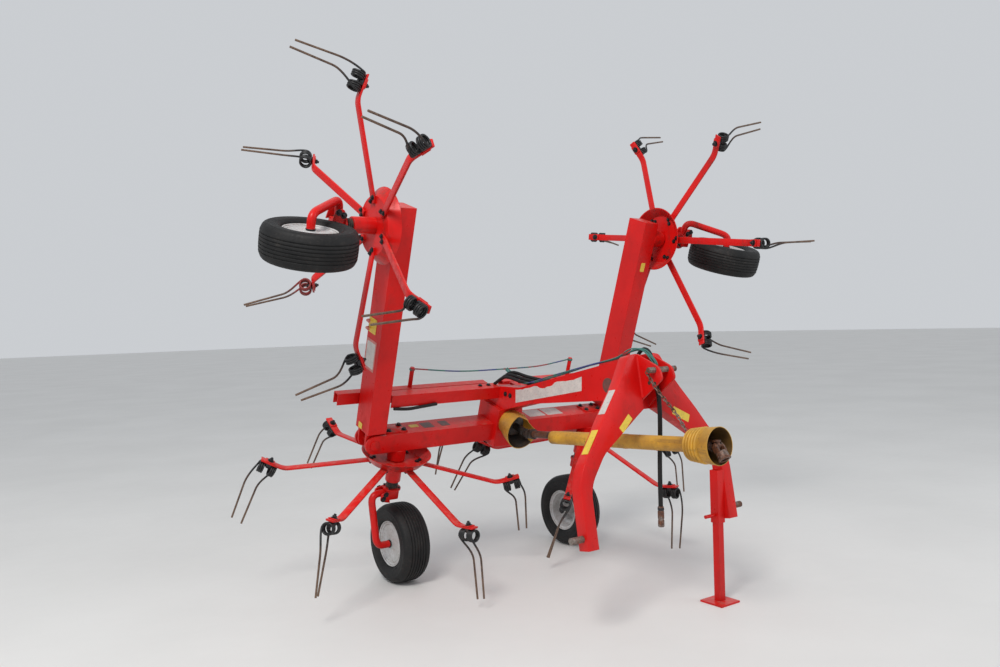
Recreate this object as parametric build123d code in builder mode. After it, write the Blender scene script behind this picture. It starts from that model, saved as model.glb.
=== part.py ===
from build123d import *
import os
from math import cos, radians, sin

# Rotary rake, folded for the road: four tined rotors on a hinged cross beam, carried on a
# three-point headstock. Millimetres. +X is the machine's left, -Y is forward, the ground is z = 0,
# and the origin lies below the middle of the whole. Lengths forward and back are given from the
# cross beam's centre line.

os.makedirs("parts", exist_ok=True)

# Frame
beam_y = 369               # the beam's centre line behind the origin
beam_height = 743          # centre line of the cross beam above ground
pitch = 19                 # the frame stands nose down by this angle
beam_width = 125
beam_depth = 92
rotor_spacing = 1237       # between the inner rotors' axes
rotor_setback = -24        # rotor axes from the beam's centre line, along the frame
hinge_x = 769
hinge_pin_d = 30
hinge_head_d = 46
hinge_head = 7             # thickness of the pins' heads
ear_thickness = 12
ear_radius = 46
ear_length = 190
hinge_clearance = 12       # around the ears and lugs where the other side turns past them
fit_gap = 0.3              # between round faces that turn on one another
side_gap = 6               # between faces that move past one another

# Gearbox and drive
gearbox_width = 150
gearbox_length = 180
gearbox_top = 132
gearbox_bottom = -76
input_height = 63          # input axis above the beam's centre line
neck_d = 104
neck_length = 52
stub_d = 35
input_y = -256             # centre of the rear universal joint
input_z = 722
output_y = -1509           # middle of the front guard's mouth
output_z = 780
guard_d = 64
guard_wall = 4
guard_start = 95
collar_length = 20
shaft_d = 36
yoke_d = 58
yoke_length = 70
yoke_bore_d = 35           # takes a six-spline stub shaft
yoke_bore_depth = 46
yoke_droop = 45            # the free front yoke hangs down by this angle
front_cone_d = 156
front_cone_back_d = 134
front_cone_length = 205
front_cone_ribs = 4
rib_height = 5
rib_width = 14
rear_cone_d = 184
rear_cone_back_d = 126
rear_cone_length = 120
cone_wall = 4

# Drawbar, its side outline in the world's y and z
drawbar_width = 106
drawbar_outline = [(30, 964), (-275, 962), (-1091, 1132), (-1160, 1020), (-1120, 950), (-917, 932),
                   (-348, 884), (-140, 842), (-100, 790), (60, 800)]

# Headstock
mast_top = (-1103, 1143)   # y and z where the plane of the legs' front meets the top
leg_foot = (-1222, 384)    # y and z where that plane meets the legs' ends
leg_depth = 58
hitch_width = 900          # between the shoulders of the lower pins
# half widths of the front outline and their heights, up the outside and down the inside
leg_outer = [(450, 384), (450, 676), (345, 798), (280, 886), (172, 1015), (92, 1137), (60, 1143)]
leg_inner = [(44, 1143), (44, 908), (84, 884), (217, 798), (300, 745), (395, 626), (395, 384)]
mast_gap = 64              # between the mast's side plates
mast_plate = 12
# side plates: height, and distance ahead of the legs' front
mast_outline = [(908, -58), (950, 0), (1018, 128), (1070, 118), (1143, 0), (1143, -58)]
web_thickness = 14
lower_pin_d = 28
lower_pin_length = 62
lower_pin_height = 432
top_pin_d = 25
top_pin_height = 1062
top_pin_ahead = 92
top_pin_overhang = 36

# Parking stand, inboard of the left leg
sleeve_size = 44
sleeve_setback = 28        # its front face behind the leg's, at the leg's foot
sleeve_top = 600
sleeve_bottom = 362
stand_size = 34
sleeve_play = 1             # the stand's play in its sleeve
stand_top = 430
foot_size = 124
foot_plate = 8
lock_pin_d = 16
lock_pin_length = 62
lock_pin_height = 398

# Rear rails and fold channels, in the frame's own y and z
rail_z = (163, 220)
rail_y = (80, 126)
rail_end = 920
channel_z = (178, 240)
channel_y = (-36, 28)
channel_end = 692
sheet = 5
post_x = 518
post_d = 22
post_length = 106

# Outer arms
arm_width = 130
arm_top = 53
arm_bottom = -44
arm_rise = 18              # the far end stands off the hinge line by this much more
fold_angle = 89
outer_reach = 1062         # hinge line to the outer rotor's axis
arm_overrun = 92
lug_thickness = 14

# Rotors
dish_d = 345
dish_foot_d = 262
dish_top = -66
dish_bottom = -114
dish_wall = 6
neck_upper_d = 90
hub_d = 76
hub_bottom = -222
spacer_d = 58
spacer_bottom = -258
knuckle_bottom = -316
knuckle_width = 62
knuckle_length = 64
rotor_arms = 6
arm_bar = 36
arm_bar_thickness = 10
coil_radius = 614          # of the coils' middles about the rotor's axis
# the tine arm's centre line: radius and height, with its end raised over the coils
tine_arm = [(96, -119), (128, -119), (coil_radius - 89, -208), (coil_radius + 18, -168)]
coil_drop = 25             # the coils' middles below the arm's underside
coil_d = 46
coil_bore = 27
coil_length = 26
coil_pitch = 60            # between the two coils' middles
coil_block = 24            # the block between the coils, under the arm's end
tine_d = 9.5
# the tine's knee and tip: radius and height from the coils' middles
tine_knee = (36, -57)
tine_tip = (138, -269)
tine_trail = 32
tine_bend = 40

# Wheels
wheel_d = 398
tyre_width = 150
tyre_bore_d = 212
# the tyre's outline from the rim's flange to the crown: inset from its side, drop from its crown
tyre_curve = [(6, 73), (0, 49), (2, 22), (16, 7), (38, 2), (52, 0)]
rim_width = 116
rim_flange_d = 228
rim_wall = 5
rim_disc = 8
rim_hub_d = 54
rim_hub_length = 110
axle_d = 25
axle_nut_d = 42
wheel_leg_d = 36
leg_bend = 36
leg_bulge = 74             # the leg's drop, outboard of the rotor's axis
inner_wheel_x = -52        # the wheels' middles from the rotor's axis, along the beam
inner_wheel_y = 91         # world
outer_wheel = (-46, -166, -480)

# name, side, on the outer arm, angle of the first tine arm from outboard, the way the tines trail
rotors = [
    ("inner_right", -1, False, -24, 1),
    ("inner_left", 1, False, 16, 1),
    ("outer_right", -1, True, -12, -1),
    ("outer_left", 1, True, 18, -1),
]

frame = Plane(origin=(0, beam_y, beam_height), x_dir=(1, 0, 0),
              z_dir=(0, -sin(radians(pitch)), cos(radians(pitch))))
across_beam = Vector(1, 0, 0)


def arm_frame(side):
    """The folded arm's own plane: x outward along the arm, z where the top faces."""
    lift = radians(fold_angle)
    out = frame.x_dir * (side * cos(lift)) + frame.z_dir * sin(lift)
    up = frame.x_dir * (-side * sin(lift)) + frame.z_dir * cos(lift)
    return Plane(origin=frame.from_local_coords(Vector(side * hinge_x, 0, 0)), x_dir=out, z_dir=up)


def rotor_frame(side, outer):
    """A plane on the rotor's axis at the beam's line, x outboard."""
    base = arm_frame(side) if outer else frame
    if outer:
        return moved(base, outer_reach, side * rotor_setback, 0)
    middle = moved(base, side * rotor_spacing / 2, rotor_setback, 0)
    return Plane(origin=middle.origin, x_dir=frame.x_dir * side, z_dir=frame.z_dir)


def moved(base, x, y, z):
    """The base plane with its origin moved in its own directions."""
    return Plane(origin=base.from_local_coords(Vector(x, y, z)), x_dir=base.x_dir, z_dir=base.z_dir)


def turned(base, side, angle):
    """The rotor's plane turned about its axis, from outboard towards the front."""
    turn = radians(-side * angle)
    out = base.x_dir * cos(turn) + base.y_dir * sin(turn)
    return Plane(origin=base.origin, x_dir=out, z_dir=base.z_dir)


def across(base, x):
    """A plane square to the base's x, drawn in the base's y and z."""
    return Plane(origin=base.from_local_coords(Vector(x, 0, 0)), x_dir=base.y_dir, z_dir=base.x_dir)


def facing(base, y):
    """A plane square to the base's y, drawn in the base's x and z."""
    return Plane(origin=base.from_local_coords(Vector(0, y, 0)), x_dir=base.x_dir, z_dir=-base.y_dir)


def upright(x):
    """An upright plane square to X, drawn from the beam's line backwards and from the ground up."""
    return Plane(origin=(x, beam_y, 0), x_dir=(0, 1, 0), z_dir=(1, 0, 0))


def finish(piece, name):
    piece.part.label = name
    export_step(piece.part, f"parts/{name}.step")


def bent(points, bend):
    """Straight runs with rounded turns."""
    with BuildLine() as run:
        FilletPolyline(*points, radius=bend)
    return run.wire()


def bar_under(radius):
    """Height of the tine arm's underside, on its raised end."""
    (r1, z1), (r2, z2) = tine_arm[-2:]
    return z1 + (z2 - z1) * (radius - r1) / (r2 - r1) - arm_bar_thickness / 2


def round_bar(route, diameter):
    """A round section at a route's start."""
    with BuildSketch(Plane(origin=route @ 0, z_dir=route % 0)) as section:
        Circle(diameter / 2)
    return section.sketch


def channel_section(across_span, height_span):
    """A sheet channel, open below, for the sketch it is called in."""
    width = across_span[1] - across_span[0]
    height = height_span[1] - height_span[0]
    with Locations((sum(across_span) / 2, height_span[1])):
        Rectangle(width, height, align=(Align.CENTER, Align.MAX))
    with Locations((sum(across_span) / 2, height_span[1] - sheet)):
        Rectangle(width - 2 * sheet, height, align=(Align.CENTER, Align.MAX), mode=Mode.SUBTRACT)


# Cross beam: a box between the hinges, carried on by two ears at each end
box_end = hinge_x - ear_radius - hinge_clearance
ear_middle = beam_width / 2 - ear_thickness / 2
with BuildPart() as cross_beam:
    with BuildSketch(across(frame, 0)):
        Rectangle(beam_width, beam_depth)
    extrude(amount=box_end, both=True)
    for end in (-1, 1):
        for ear in (-1, 1):
            with BuildSketch(facing(frame, ear * ear_middle)):
                with Locations((end * (hinge_x - ear_length / 2), 0)):
                    Rectangle(ear_length, beam_depth)
                with Locations((end * hinge_x, 0)):
                    Circle(ear_radius)
            extrude(amount=ear_thickness / 2, both=True)
        with BuildSketch(facing(frame, 0)):
            with Locations((end * hinge_x, 0)):
                Circle(hinge_pin_d / 2 + fit_gap)
        extrude(amount=beam_width, both=True, mode=Mode.SUBTRACT)
finish(cross_beam, "cross_beam")

with BuildPart() as hinge_pins:
    with BuildSketch(facing(frame, 0)):
        with Locations((-hinge_x, 0), (hinge_x, 0)):
            Circle(hinge_pin_d / 2)
    extrude(amount=beam_width / 2, both=True)
    for end in (-1, 1):
        with BuildSketch(facing(frame, end * (beam_width / 2 + hinge_head / 2))):
            with Locations((-hinge_x, 0), (hinge_x, 0)):
                Circle(hinge_head_d / 2)
        extrude(amount=hinge_head / 2, both=True)
finish(hinge_pins, "hinge_pins")

# Gearbox on the beam, with its input neck and the stub that the drive shaft's rear joint sits on
neck_start = -gearbox_length / 2
drive_start = Vector(0, beam_y + input_y, input_z)
stub_end = frame.to_local_coords(drive_start).Y + yoke_d / 2 + fit_gap
with BuildPart() as gearbox:
    with BuildSketch(across(frame, 0)):
        with Locations((0, (gearbox_top + gearbox_bottom) / 2)):
            Rectangle(gearbox_length, gearbox_top - gearbox_bottom)
    extrude(amount=gearbox_width / 2, both=True)
    with BuildSketch(facing(frame, neck_start)):
        with Locations((0, input_height)):
            Circle(neck_d / 2)
    extrude(amount=neck_length)
    with BuildSketch(facing(frame, neck_start - neck_length)):
        with Locations((0, input_height)):
            Circle(stub_d / 2)
    extrude(amount=neck_start - neck_length - stub_end)
    with BuildSketch(across(frame, 0)):
        Rectangle(beam_width, beam_depth)
    extrude(amount=gearbox_width, both=True, mode=Mode.SUBTRACT)
finish(gearbox, "gearbox")

# The plane of the legs' front, x to the left and y up the legs
leg_up = Vector(0, mast_top[0] - leg_foot[0], mast_top[1] - leg_foot[1]).normalized()
legs = Plane(origin=(0, beam_y + leg_foot[0], leg_foot[1]), x_dir=(1, 0, 0),
             z_dir=across_beam.cross(leg_up))


def up_leg(height):
    """Distance up the legs' plane for a world height."""
    return (height - leg_foot[1]) / leg_up.Z


# Drawbar from the gearbox to the headstock
with BuildPart() as drawbar:
    with BuildSketch(upright(0)):
        Polygon(*drawbar_outline, align=None)
    extrude(amount=drawbar_width / 2, both=True)
    split(bisect_by=legs.offset(-leg_depth), keep=Keep.BOTTOM)
    split(bisect_by=frame.offset(gearbox_top), keep=Keep.TOP)
finish(drawbar, "drawbar")

# Headstock: two cranked legs, the mast's side plates and the web between them
with BuildPart() as headstock:
    for side in (-1, 1):
        outline = [(side * x, up_leg(z)) for x, z in leg_outer + leg_inner]
        with BuildSketch(legs):
            Polygon(*outline, align=None)
        extrude(amount=-leg_depth)
        plate_x = side * (mast_gap / 2 + mast_plate / 2)
        plate = Plane(origin=legs.from_local_coords(Vector(plate_x, 0, 0)), x_dir=legs.y_dir,
                      z_dir=across_beam)
        with BuildSketch(plate):
            Polygon(*[(up_leg(z), ahead) for z, ahead in mast_outline], align=None)
        extrude(amount=mast_plate / 2, both=True)
    with BuildSketch(legs.offset(-leg_depth)):
        with Locations((0, up_leg((mast_outline[0][0] + mast_top[1]) / 2))):
            Rectangle(mast_gap + mast_plate, up_leg(mast_top[1]) - up_leg(mast_outline[0][0]))
    extrude(amount=web_thickness)
    pin_line = Plane(origin=legs.from_local_coords(Vector(0, up_leg(top_pin_height), top_pin_ahead)),
                     x_dir=legs.y_dir, z_dir=across_beam)
    with BuildSketch(pin_line):
        Circle(top_pin_d / 2 + fit_gap)
    extrude(amount=mast_gap, both=True, mode=Mode.SUBTRACT)
finish(headstock, "headstock")

with BuildPart() as top_link_pin:
    with BuildSketch(pin_line):
        Circle(top_pin_d / 2)
    extrude(amount=mast_gap / 2 + mast_plate + top_pin_overhang, both=True)
finish(top_link_pin, "top_link_pin")

with BuildPart() as lower_link_pins:
    for side in (-1, 1):
        shoulder = legs.from_local_coords(Vector(side * hitch_width / 2, up_leg(lower_pin_height),
                                                 -leg_depth / 2))
        with BuildSketch(Plane(origin=shoulder, x_dir=(0, 1, 0), z_dir=(side, 0, 0))):
            Circle(lower_pin_d / 2)
        extrude(amount=lower_pin_length)
finish(lower_link_pins, "lower_link_pins")

# Parking stand: a sleeve on the left leg's inboard face, and a square leg that slides in it
stand_x = leg_inner[-1][0] - sleeve_size / 2
stand_y = legs.origin.Y + sleeve_setback + sleeve_size / 2
stand_axis = Plane(origin=(stand_x, stand_y, 0))
with BuildPart() as stand_sleeve:
    with BuildSketch(stand_axis.offset(sleeve_bottom)):
        Rectangle(sleeve_size, sleeve_size)
        Rectangle(stand_size + sleeve_play, stand_size + sleeve_play, mode=Mode.SUBTRACT)
    extrude(amount=sleeve_top - sleeve_bottom)
finish(stand_sleeve, "stand_sleeve")

with BuildPart() as stand:
    with BuildSketch(stand_axis.offset(foot_plate)):
        Rectangle(stand_size, stand_size)
    extrude(amount=stand_top - foot_plate)
    with BuildSketch(stand_axis):
        Rectangle(foot_size, foot_size)
    extrude(amount=foot_plate)
finish(stand, "parking_stand")

with BuildPart() as lock_pin:
    with BuildSketch(Plane(origin=(stand_x - sleeve_size / 2, stand_y, lock_pin_height),
                           x_dir=(0, 1, 0), z_dir=(-1, 0, 0))):
        Circle(lock_pin_d / 2)
    extrude(amount=lock_pin_length)
finish(lock_pin, "stand_lock_pin")

# Rear rails with their release posts, and fold channels, open below and butted on the drawbar
with BuildPart() as rear_rails:
    for side in (-1, 1):
        with BuildSketch(across(frame, side * drawbar_width / 2)):
            channel_section(rail_y, rail_z)
        extrude(amount=side * (rail_end - drawbar_width / 2))
        with BuildSketch(frame.offset(rail_z[1])):
            with Locations((side * post_x, sum(rail_y) / 2)):
                Circle(post_d / 2)
        extrude(amount=post_length)
finish(rear_rails, "rear_rails")

with BuildPart() as fold_channels:
    for side in (-1, 1):
        with BuildSketch(across(frame, side * drawbar_width / 2)):
            channel_section(channel_y, channel_z)
        extrude(amount=side * (channel_end - drawbar_width / 2))
finish(fold_channels, "fold_channels")

# Drive shaft in its guard, from the gearbox forward
drive_end = Vector(0, beam_y + output_y, output_z)
drive_length = (drive_end - drive_start).length
drive = Plane(origin=drive_start, x_dir=(1, 0, 0), z_dir=drive_end - drive_start)
cone_start = drive_length - front_cone_length
with BuildPart() as drive_guard:
    with BuildSketch(drive.offset(guard_start)):
        Circle(guard_d / 2)
        Circle(guard_d / 2 - guard_wall, mode=Mode.SUBTRACT)
    extrude(amount=cone_start - guard_start)
    for collar in (guard_start, cone_start - collar_length):
        with BuildSketch(drive.offset(collar)):
            Circle(guard_d / 2)
            Circle(shaft_d / 2 + fit_gap, mode=Mode.SUBTRACT)
        extrude(amount=collar_length)
    with BuildSketch(drive.offset(cone_start)):
        Circle(front_cone_back_d / 2)
    with BuildSketch(drive.offset(drive_length)):
        Circle(front_cone_d / 2)
    loft()
    for rib in range(front_cone_ribs):
        at = cone_start + front_cone_length * (rib + 0.5) / (front_cone_ribs + 2)
        with BuildSketch(drive.offset(at)):
            Circle(front_cone_back_d / 2 + rib_height + rib)
        extrude(amount=rib_width)
    with BuildSketch(drive.offset(cone_start + cone_wall)):
        Circle(front_cone_back_d / 2 - cone_wall)
    with BuildSketch(drive.offset(drive_length + cone_wall)):
        Circle(front_cone_d / 2 - cone_wall)
    loft(mode=Mode.SUBTRACT)
    with BuildSketch(drive.offset(cone_start - collar_length)):
        Circle(shaft_d / 2 + fit_gap)
    extrude(amount=front_cone_length, mode=Mode.SUBTRACT)
finish(drive_guard, "drive_guard")

input_plane = facing(moved(frame, 0, 0, input_height), neck_start)
with BuildPart() as gearbox_guard:
    with BuildSketch(input_plane):
        Circle(rear_cone_back_d / 2)
    with BuildSketch(input_plane.offset(rear_cone_length)):
        Circle(rear_cone_d / 2)
    loft()
    with BuildSketch(input_plane.offset(cone_wall)):
        Circle(rear_cone_back_d / 2 - cone_wall)
    with BuildSketch(input_plane.offset(rear_cone_length + cone_wall)):
        Circle(rear_cone_d / 2 - cone_wall)
    loft(mode=Mode.SUBTRACT)
    with BuildSketch(input_plane):
        Circle(neck_d / 2)
    extrude(amount=rear_cone_length, mode=Mode.SUBTRACT)
finish(gearbox_guard, "gearbox_guard")

yoke_drop = radians(yoke_droop)
droop = Plane(origin=drive_end, x_dir=(1, 0, 0),
              z_dir=drive.z_dir * cos(yoke_drop) - drive.y_dir * sin(yoke_drop))
with BuildPart() as drive_shaft:
    with BuildSketch(drive):
        Circle(shaft_d / 2)
    extrude(amount=drive_length)
    with BuildSketch(drive):
        Circle(yoke_d / 2)
    extrude(amount=yoke_length)
    with BuildSketch(drive.offset(drive_length - yoke_length)):
        Circle(yoke_d / 2)
    extrude(amount=yoke_length)
    with BuildSketch(droop):
        Circle(yoke_d / 2)
    extrude(amount=yoke_length)
    with Locations(drive_start, drive_end):
        Sphere(yoke_d / 2)
    with BuildSketch(droop.offset(yoke_length - yoke_bore_depth)):
        Circle(yoke_bore_d / 2)
    extrude(amount=yoke_bore_depth, mode=Mode.SUBTRACT)
finish(drive_shaft, "drive_shaft")

# Outer arms, folded up: a box that rises off the hinge line, and two lugs on the hinge pin
arm_start = ear_radius + hinge_clearance
arm_end = outer_reach + arm_overrun
arm_outline = [(arm_start, arm_bottom), (arm_end, arm_bottom + arm_rise),
               (arm_end, arm_top + arm_rise), (arm_start, arm_top)]
lug_middle = beam_width / 2 - ear_thickness - side_gap - lug_thickness / 2
lug_radius = ear_radius - side_gap
for side, hand in ((-1, "right"), (1, "left")):
    base = arm_frame(side)
    with BuildPart() as arm:
        with BuildSketch(facing(base, 0)):
            Polygon(*arm_outline, align=None)
        extrude(amount=arm_width / 2, both=True)
        for lug in (-1, 1):
            with BuildSketch(facing(base, lug * lug_middle)):
                with Locations((arm_start / 2, 0)):
                    Rectangle(arm_start, 2 * lug_radius)
                Circle(lug_radius)
                Circle(hinge_pin_d / 2 + fit_gap, mode=Mode.SUBTRACT)
            extrude(amount=lug_thickness / 2, both=True)
    finish(arm, f"outer_arm_{hand}")

# Rotors, each with its hub, wheel leg and wheel
tyre_face = tyre_width / 2
wheel_radius = wheel_d / 2
bead = rim_width / 2 - rim_wall
tyre_outline = [(bead, tyre_bore_d / 2), (bead, rim_flange_d / 2)]
tyre_outline += [(tyre_face - inset, wheel_radius - drop) for inset, drop in tyre_curve]
for name, side, outer, first_angle, trail in rotors:
    base = rotor_frame(side, outer)
    if outer:
        wheel_at = Vector(outer_wheel[0], side * outer_wheel[1], outer_wheel[2])
    else:
        on_ground = Vector(side * (rotor_spacing / 2 + inner_wheel_x), beam_y + inner_wheel_y,
                           wheel_d / 2)
        wheel_at = base.to_local_coords(on_ground)
    spin = Axis(base.origin, base.z_dir)
    coil_height = bar_under(coil_radius) - coil_drop

    # Dish, a bowl open above
    with BuildPart() as dish:
        with BuildSketch(facing(base, 0)):
            Polygon((hub_d / 2 + fit_gap, dish_bottom), (dish_foot_d / 2, dish_bottom),
                    (dish_d / 2, dish_top), (dish_d / 2 - dish_wall, dish_top),
                    (dish_foot_d / 2 - dish_wall / 2, dish_bottom + dish_wall),
                    (hub_d / 2 + fit_gap, dish_bottom + dish_wall), align=None)
        revolve(axis=spin)
    finish(dish, f"dish_{name}")

    # Tine arms, flat bars under the dish, and a double spring tine at each one's end
    bar_top = [(r, z + arm_bar_thickness / 2) for r, z in tine_arm]
    bar_foot = [(r, z - arm_bar_thickness / 2) for r, z in reversed(tine_arm)]
    with BuildPart() as bars:
        for index in range(rotor_arms):
            place = turned(base, side, first_angle + index * 360 / rotor_arms)
            with BuildSketch(facing(place, 0)):
                Polygon(*(bar_top + bar_foot), align=None)
            extrude(amount=arm_bar / 2, both=True)
    finish(bars, f"tine_arms_{name}")

    with BuildPart() as tines:
        for index in range(rotor_arms):
            place = turned(base, side, first_angle + index * 360 / rotor_arms)
            with BuildSketch(facing(place, 0)):
                with BuildLine():
                    Polyline((coil_radius - coil_block / 2, bar_under(coil_radius - coil_block / 2)),
                             (coil_radius + coil_block / 2, bar_under(coil_radius + coil_block / 2)),
                             (coil_radius + coil_block / 2, coil_height - coil_block / 2),
                             (coil_radius - coil_block / 2, coil_height - coil_block / 2), close=True)
                make_face()
            extrude(amount=(coil_pitch - coil_length) / 2, both=True)
            for end in (-1, 1):
                with BuildSketch(facing(place, end * coil_pitch / 2)):
                    with Locations((coil_radius, coil_height)):
                        Circle(coil_d / 2)
                        Circle(coil_bore / 2, mode=Mode.SUBTRACT)
                extrude(amount=coil_length / 2, both=True)
                along = end * (coil_pitch / 2 + coil_length / 2 - tine_d / 2)
                middle = moved(place, coil_radius, along, coil_height)
                points = [middle.from_local_coords(Vector(*spot)) for spot in
                          (((coil_d - tine_d) / 2, 0, 0), (tine_knee[0], 0, tine_knee[1]),
                           (tine_tip[0], -side * trail * tine_trail, tine_tip[1]))]
                wire = bent(points, tine_bend)
                sweep(sections=round_bar(wire, tine_d), path=wire)
    finish(tines, f"tines_{name}")

    # Hub below the beam or arm, through the dish, its knuckle, and the wheel's bent leg and axle
    hub_top = arm_bottom + arm_rise if outer else -beam_depth / 2
    axle_shoulder = wheel_at.X + rim_hub_length / 2 + side_gap
    knuckle_middle = (spacer_bottom + knuckle_bottom) / 2
    leg_points = [(0, 0, knuckle_middle), (leg_bulge, 0, knuckle_middle),
                  (leg_bulge, wheel_at.Y, wheel_at.Z), (axle_shoulder, wheel_at.Y, wheel_at.Z)]
    leg_route = bent([base.from_local_coords(Vector(*spot)) for spot in leg_points], leg_bend)
    axle = across(moved(base, 0, wheel_at.Y, wheel_at.Z), axle_shoulder)
    axle_length = rim_hub_length + 2 * side_gap
    with BuildPart() as hub:
        with BuildSketch(base.offset(hub_top)):
            Circle(neck_upper_d / 2)
        extrude(amount=dish_bottom + dish_wall + side_gap - hub_top)
        with BuildSketch(base.offset(hub_top)):
            Circle(hub_d / 2)
        extrude(amount=hub_bottom - hub_top)
        with BuildSketch(base.offset(hub_bottom)):
            Circle(spacer_d / 2)
        extrude(amount=spacer_bottom - hub_bottom)
        with BuildSketch(base.offset(spacer_bottom)):
            Rectangle(knuckle_width, knuckle_length)
        extrude(amount=knuckle_bottom - spacer_bottom)
        if outer:
            arm_here = moved(base, -outer_reach, -side * rotor_setback, 0)
            with BuildSketch(facing(arm_here, 0)):
                Polygon(*arm_outline, align=None)
            extrude(amount=arm_width / 2, both=True, mode=Mode.SUBTRACT)
        sweep(sections=round_bar(leg_route, wheel_leg_d), path=leg_route)
        with BuildSketch(axle):
            Circle(axle_d / 2)
        extrude(amount=-axle_length)
        with BuildSketch(axle.offset(-axle_length)):
            Circle(axle_nut_d / 2)
        extrude(amount=-side_gap)
    finish(hub, f"hub_{name}")

    wheel = across(moved(base, 0, wheel_at.Y, wheel_at.Z), wheel_at.X)
    turn = Axis(wheel.origin, wheel.z_dir)
    profile = Plane(origin=wheel.origin, x_dir=wheel.z_dir, z_dir=wheel.y_dir)
    with BuildPart() as tyre:
        with BuildSketch(profile):
            Polygon(*(tyre_outline + [(-x, r) for x, r in reversed(tyre_outline)]), align=None)
        revolve(axis=turn)
    finish(tyre, f"tyre_{name}")
    with BuildPart() as rim:
        with BuildSketch(profile):
            for end in (-1, 1):
                with Locations((end * (bead + rim_wall / 2), 0)):
                    Rectangle(rim_wall, rim_flange_d / 2, align=(Align.CENTER, Align.MIN))
            Rectangle(2 * bead, tyre_bore_d / 2, align=(Align.CENTER, Align.MIN))
            hollow = tyre_bore_d / 2 - rim_wall - rim_hub_d / 2
            for end in (-1, 1):
                with Locations((end * rim_disc / 2, rim_hub_d / 2)):
                    Rectangle(rim_width, hollow, mode=Mode.SUBTRACT,
                              align=(Align.MIN if end > 0 else Align.MAX, Align.MIN))
            Rectangle(rim_width, axle_d + 2 * fit_gap, mode=Mode.SUBTRACT)
        revolve(axis=turn)
    finish(rim, f"rim_{name}")
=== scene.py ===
import random
from math import atan2, cos, pi, radians, sin

import bmesh
import bpy
from mathutils import Matrix, Vector


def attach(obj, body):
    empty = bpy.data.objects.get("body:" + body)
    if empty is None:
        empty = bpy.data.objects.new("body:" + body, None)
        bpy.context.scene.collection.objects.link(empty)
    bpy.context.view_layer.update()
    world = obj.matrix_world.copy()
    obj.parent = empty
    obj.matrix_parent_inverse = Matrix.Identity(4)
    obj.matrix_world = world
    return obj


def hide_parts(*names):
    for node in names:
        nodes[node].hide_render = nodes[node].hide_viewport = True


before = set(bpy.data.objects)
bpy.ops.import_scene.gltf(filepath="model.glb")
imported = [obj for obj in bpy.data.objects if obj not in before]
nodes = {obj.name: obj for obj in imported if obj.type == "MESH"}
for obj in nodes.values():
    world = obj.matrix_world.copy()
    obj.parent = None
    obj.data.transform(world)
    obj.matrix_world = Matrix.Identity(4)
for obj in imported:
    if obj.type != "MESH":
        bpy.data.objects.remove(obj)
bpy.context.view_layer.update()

# Sizes in metres. Places, joints and outer sizes are the solids' own. Coils, tine arms, wheel legs and the
# headstock's knees follow the real machine more closely than the solids do.
BEAM_Y, BEAM_HEIGHT, PITCH, BEAM_DEPTH = 0.369, 0.743, radians(19), 0.092
ROTOR_SPACING, ROTOR_SETBACK, HINGE_X = 1.237, -0.024, 0.769
FOLD, OUTER_REACH, ARM_OVERRUN = radians(89), 1.062, 0.092
ARM_WIDTH, ARM_BOTTOM, ARM_RISE = 0.130, -0.044, 0.018
HINGE_LUG, ARM_END = 0.058, OUTER_REACH + ARM_OVERRUN
DRAWBAR_SIDE = 0.053

# Tine arms and tines. Routes and outlines are (outward, up) from the rotor's axis at the beam's line.
ARM_COUNT, ARM_TURN = 6, 60
BENT_ARM, RED_TINE = ("inner_left", 2, radians(8)), ("outer_right", 4)
TINE_ARM = [(0.096, -0.119), (0.128, -0.119), (0.532, -0.198), (0.642, -0.154)]
ARM_BAR, ARM_BAR_THICKNESS = 0.036, 0.010
COIL_RADIUS, COIL_GAP, COIL_D, COIL_PITCH = 0.614, 0.0015, 0.060, 0.054
TURN_PITCH, COIL_TURNS, TURN_STEPS = 0.0094, 3.25, 20
TINE_D, TINE_SIDES, STRAIGHT_STEPS, BEND_STEPS, ELBOW = 0.0095, 10, 4, 12, 0.16
TINE_KNEE, TINE_TIP, KNEE_TRAIL, TINE_TRAIL = (0.062, -0.062), (0.138, -0.269), 0.008, 0.032
TIP_PULL = {-1: 0.010, 1: 0.026}  # how far the tips are drawn in, to stay inside the solids' box
LEAN, TIP_SHAKE, TRAIL_SHAKE, DROP_SHAKE = 0.006, 0.006, 0.009, 0.004

# Hubs and wheels
DISH_BOTTOM, HUB_BOTTOM, SPACER_BOTTOM, KNUCKLE_BOTTOM = -0.114, -0.222, -0.258, -0.316
WHEEL_D, RIM_HUB_LENGTH, AXLE_GAP = 0.398, 0.110, 0.006
INNER_WHEEL, OUTER_WHEEL = (-0.052, 0.091), (-0.046, -0.166, -0.480)
LEG_TUBE, LEG_BULGE, LEG_FOOT_BULGE = 0.036, 0.112, 0.078

# Headstock
LEG_FOOT_Y, LEG_FOOT_Z, LEG_DEPTH, LEG_UP = -1.222, 0.384, 0.058, Vector((0, 0.119, 0.759)).normalized()
LEG_OUTER = [(0.450, 0.384), (0.450, 0.676), (0.345, 0.798), (0.280, 0.886), (0.172, 1.015), (0.092, 1.137),
             (0.060, 1.143)]
LEG_INNER = [(0.044, 1.143), (0.044, 0.908), (0.084, 0.884), (0.217, 0.798), (0.300, 0.745), (0.395, 0.626),
             (0.395, 0.384)]
MAST_OUTLINE = [(0.908, -0.058), (0.950, 0), (1.018, 0.128), (1.070, 0.118), (1.143, 0), (1.143, -0.058)]
MAST_GAP, MAST_PLATE, WEB, WEB_HALF = 0.064, 0.012, 0.014, 0.038

# Drive
DRIVE_START, DRIVE_END = Vector((0, BEAM_Y - 0.256, 0.722)), Vector((0, BEAM_Y - 1.509, 0.780))
GUARD_START, CONE_LENGTH, JOINT_SETBACK, YOKE_DROOP = 0.212, 0.151, 0.012, radians(58)
GUARD_SAG = Vector((0, 0, 0.012))

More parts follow.
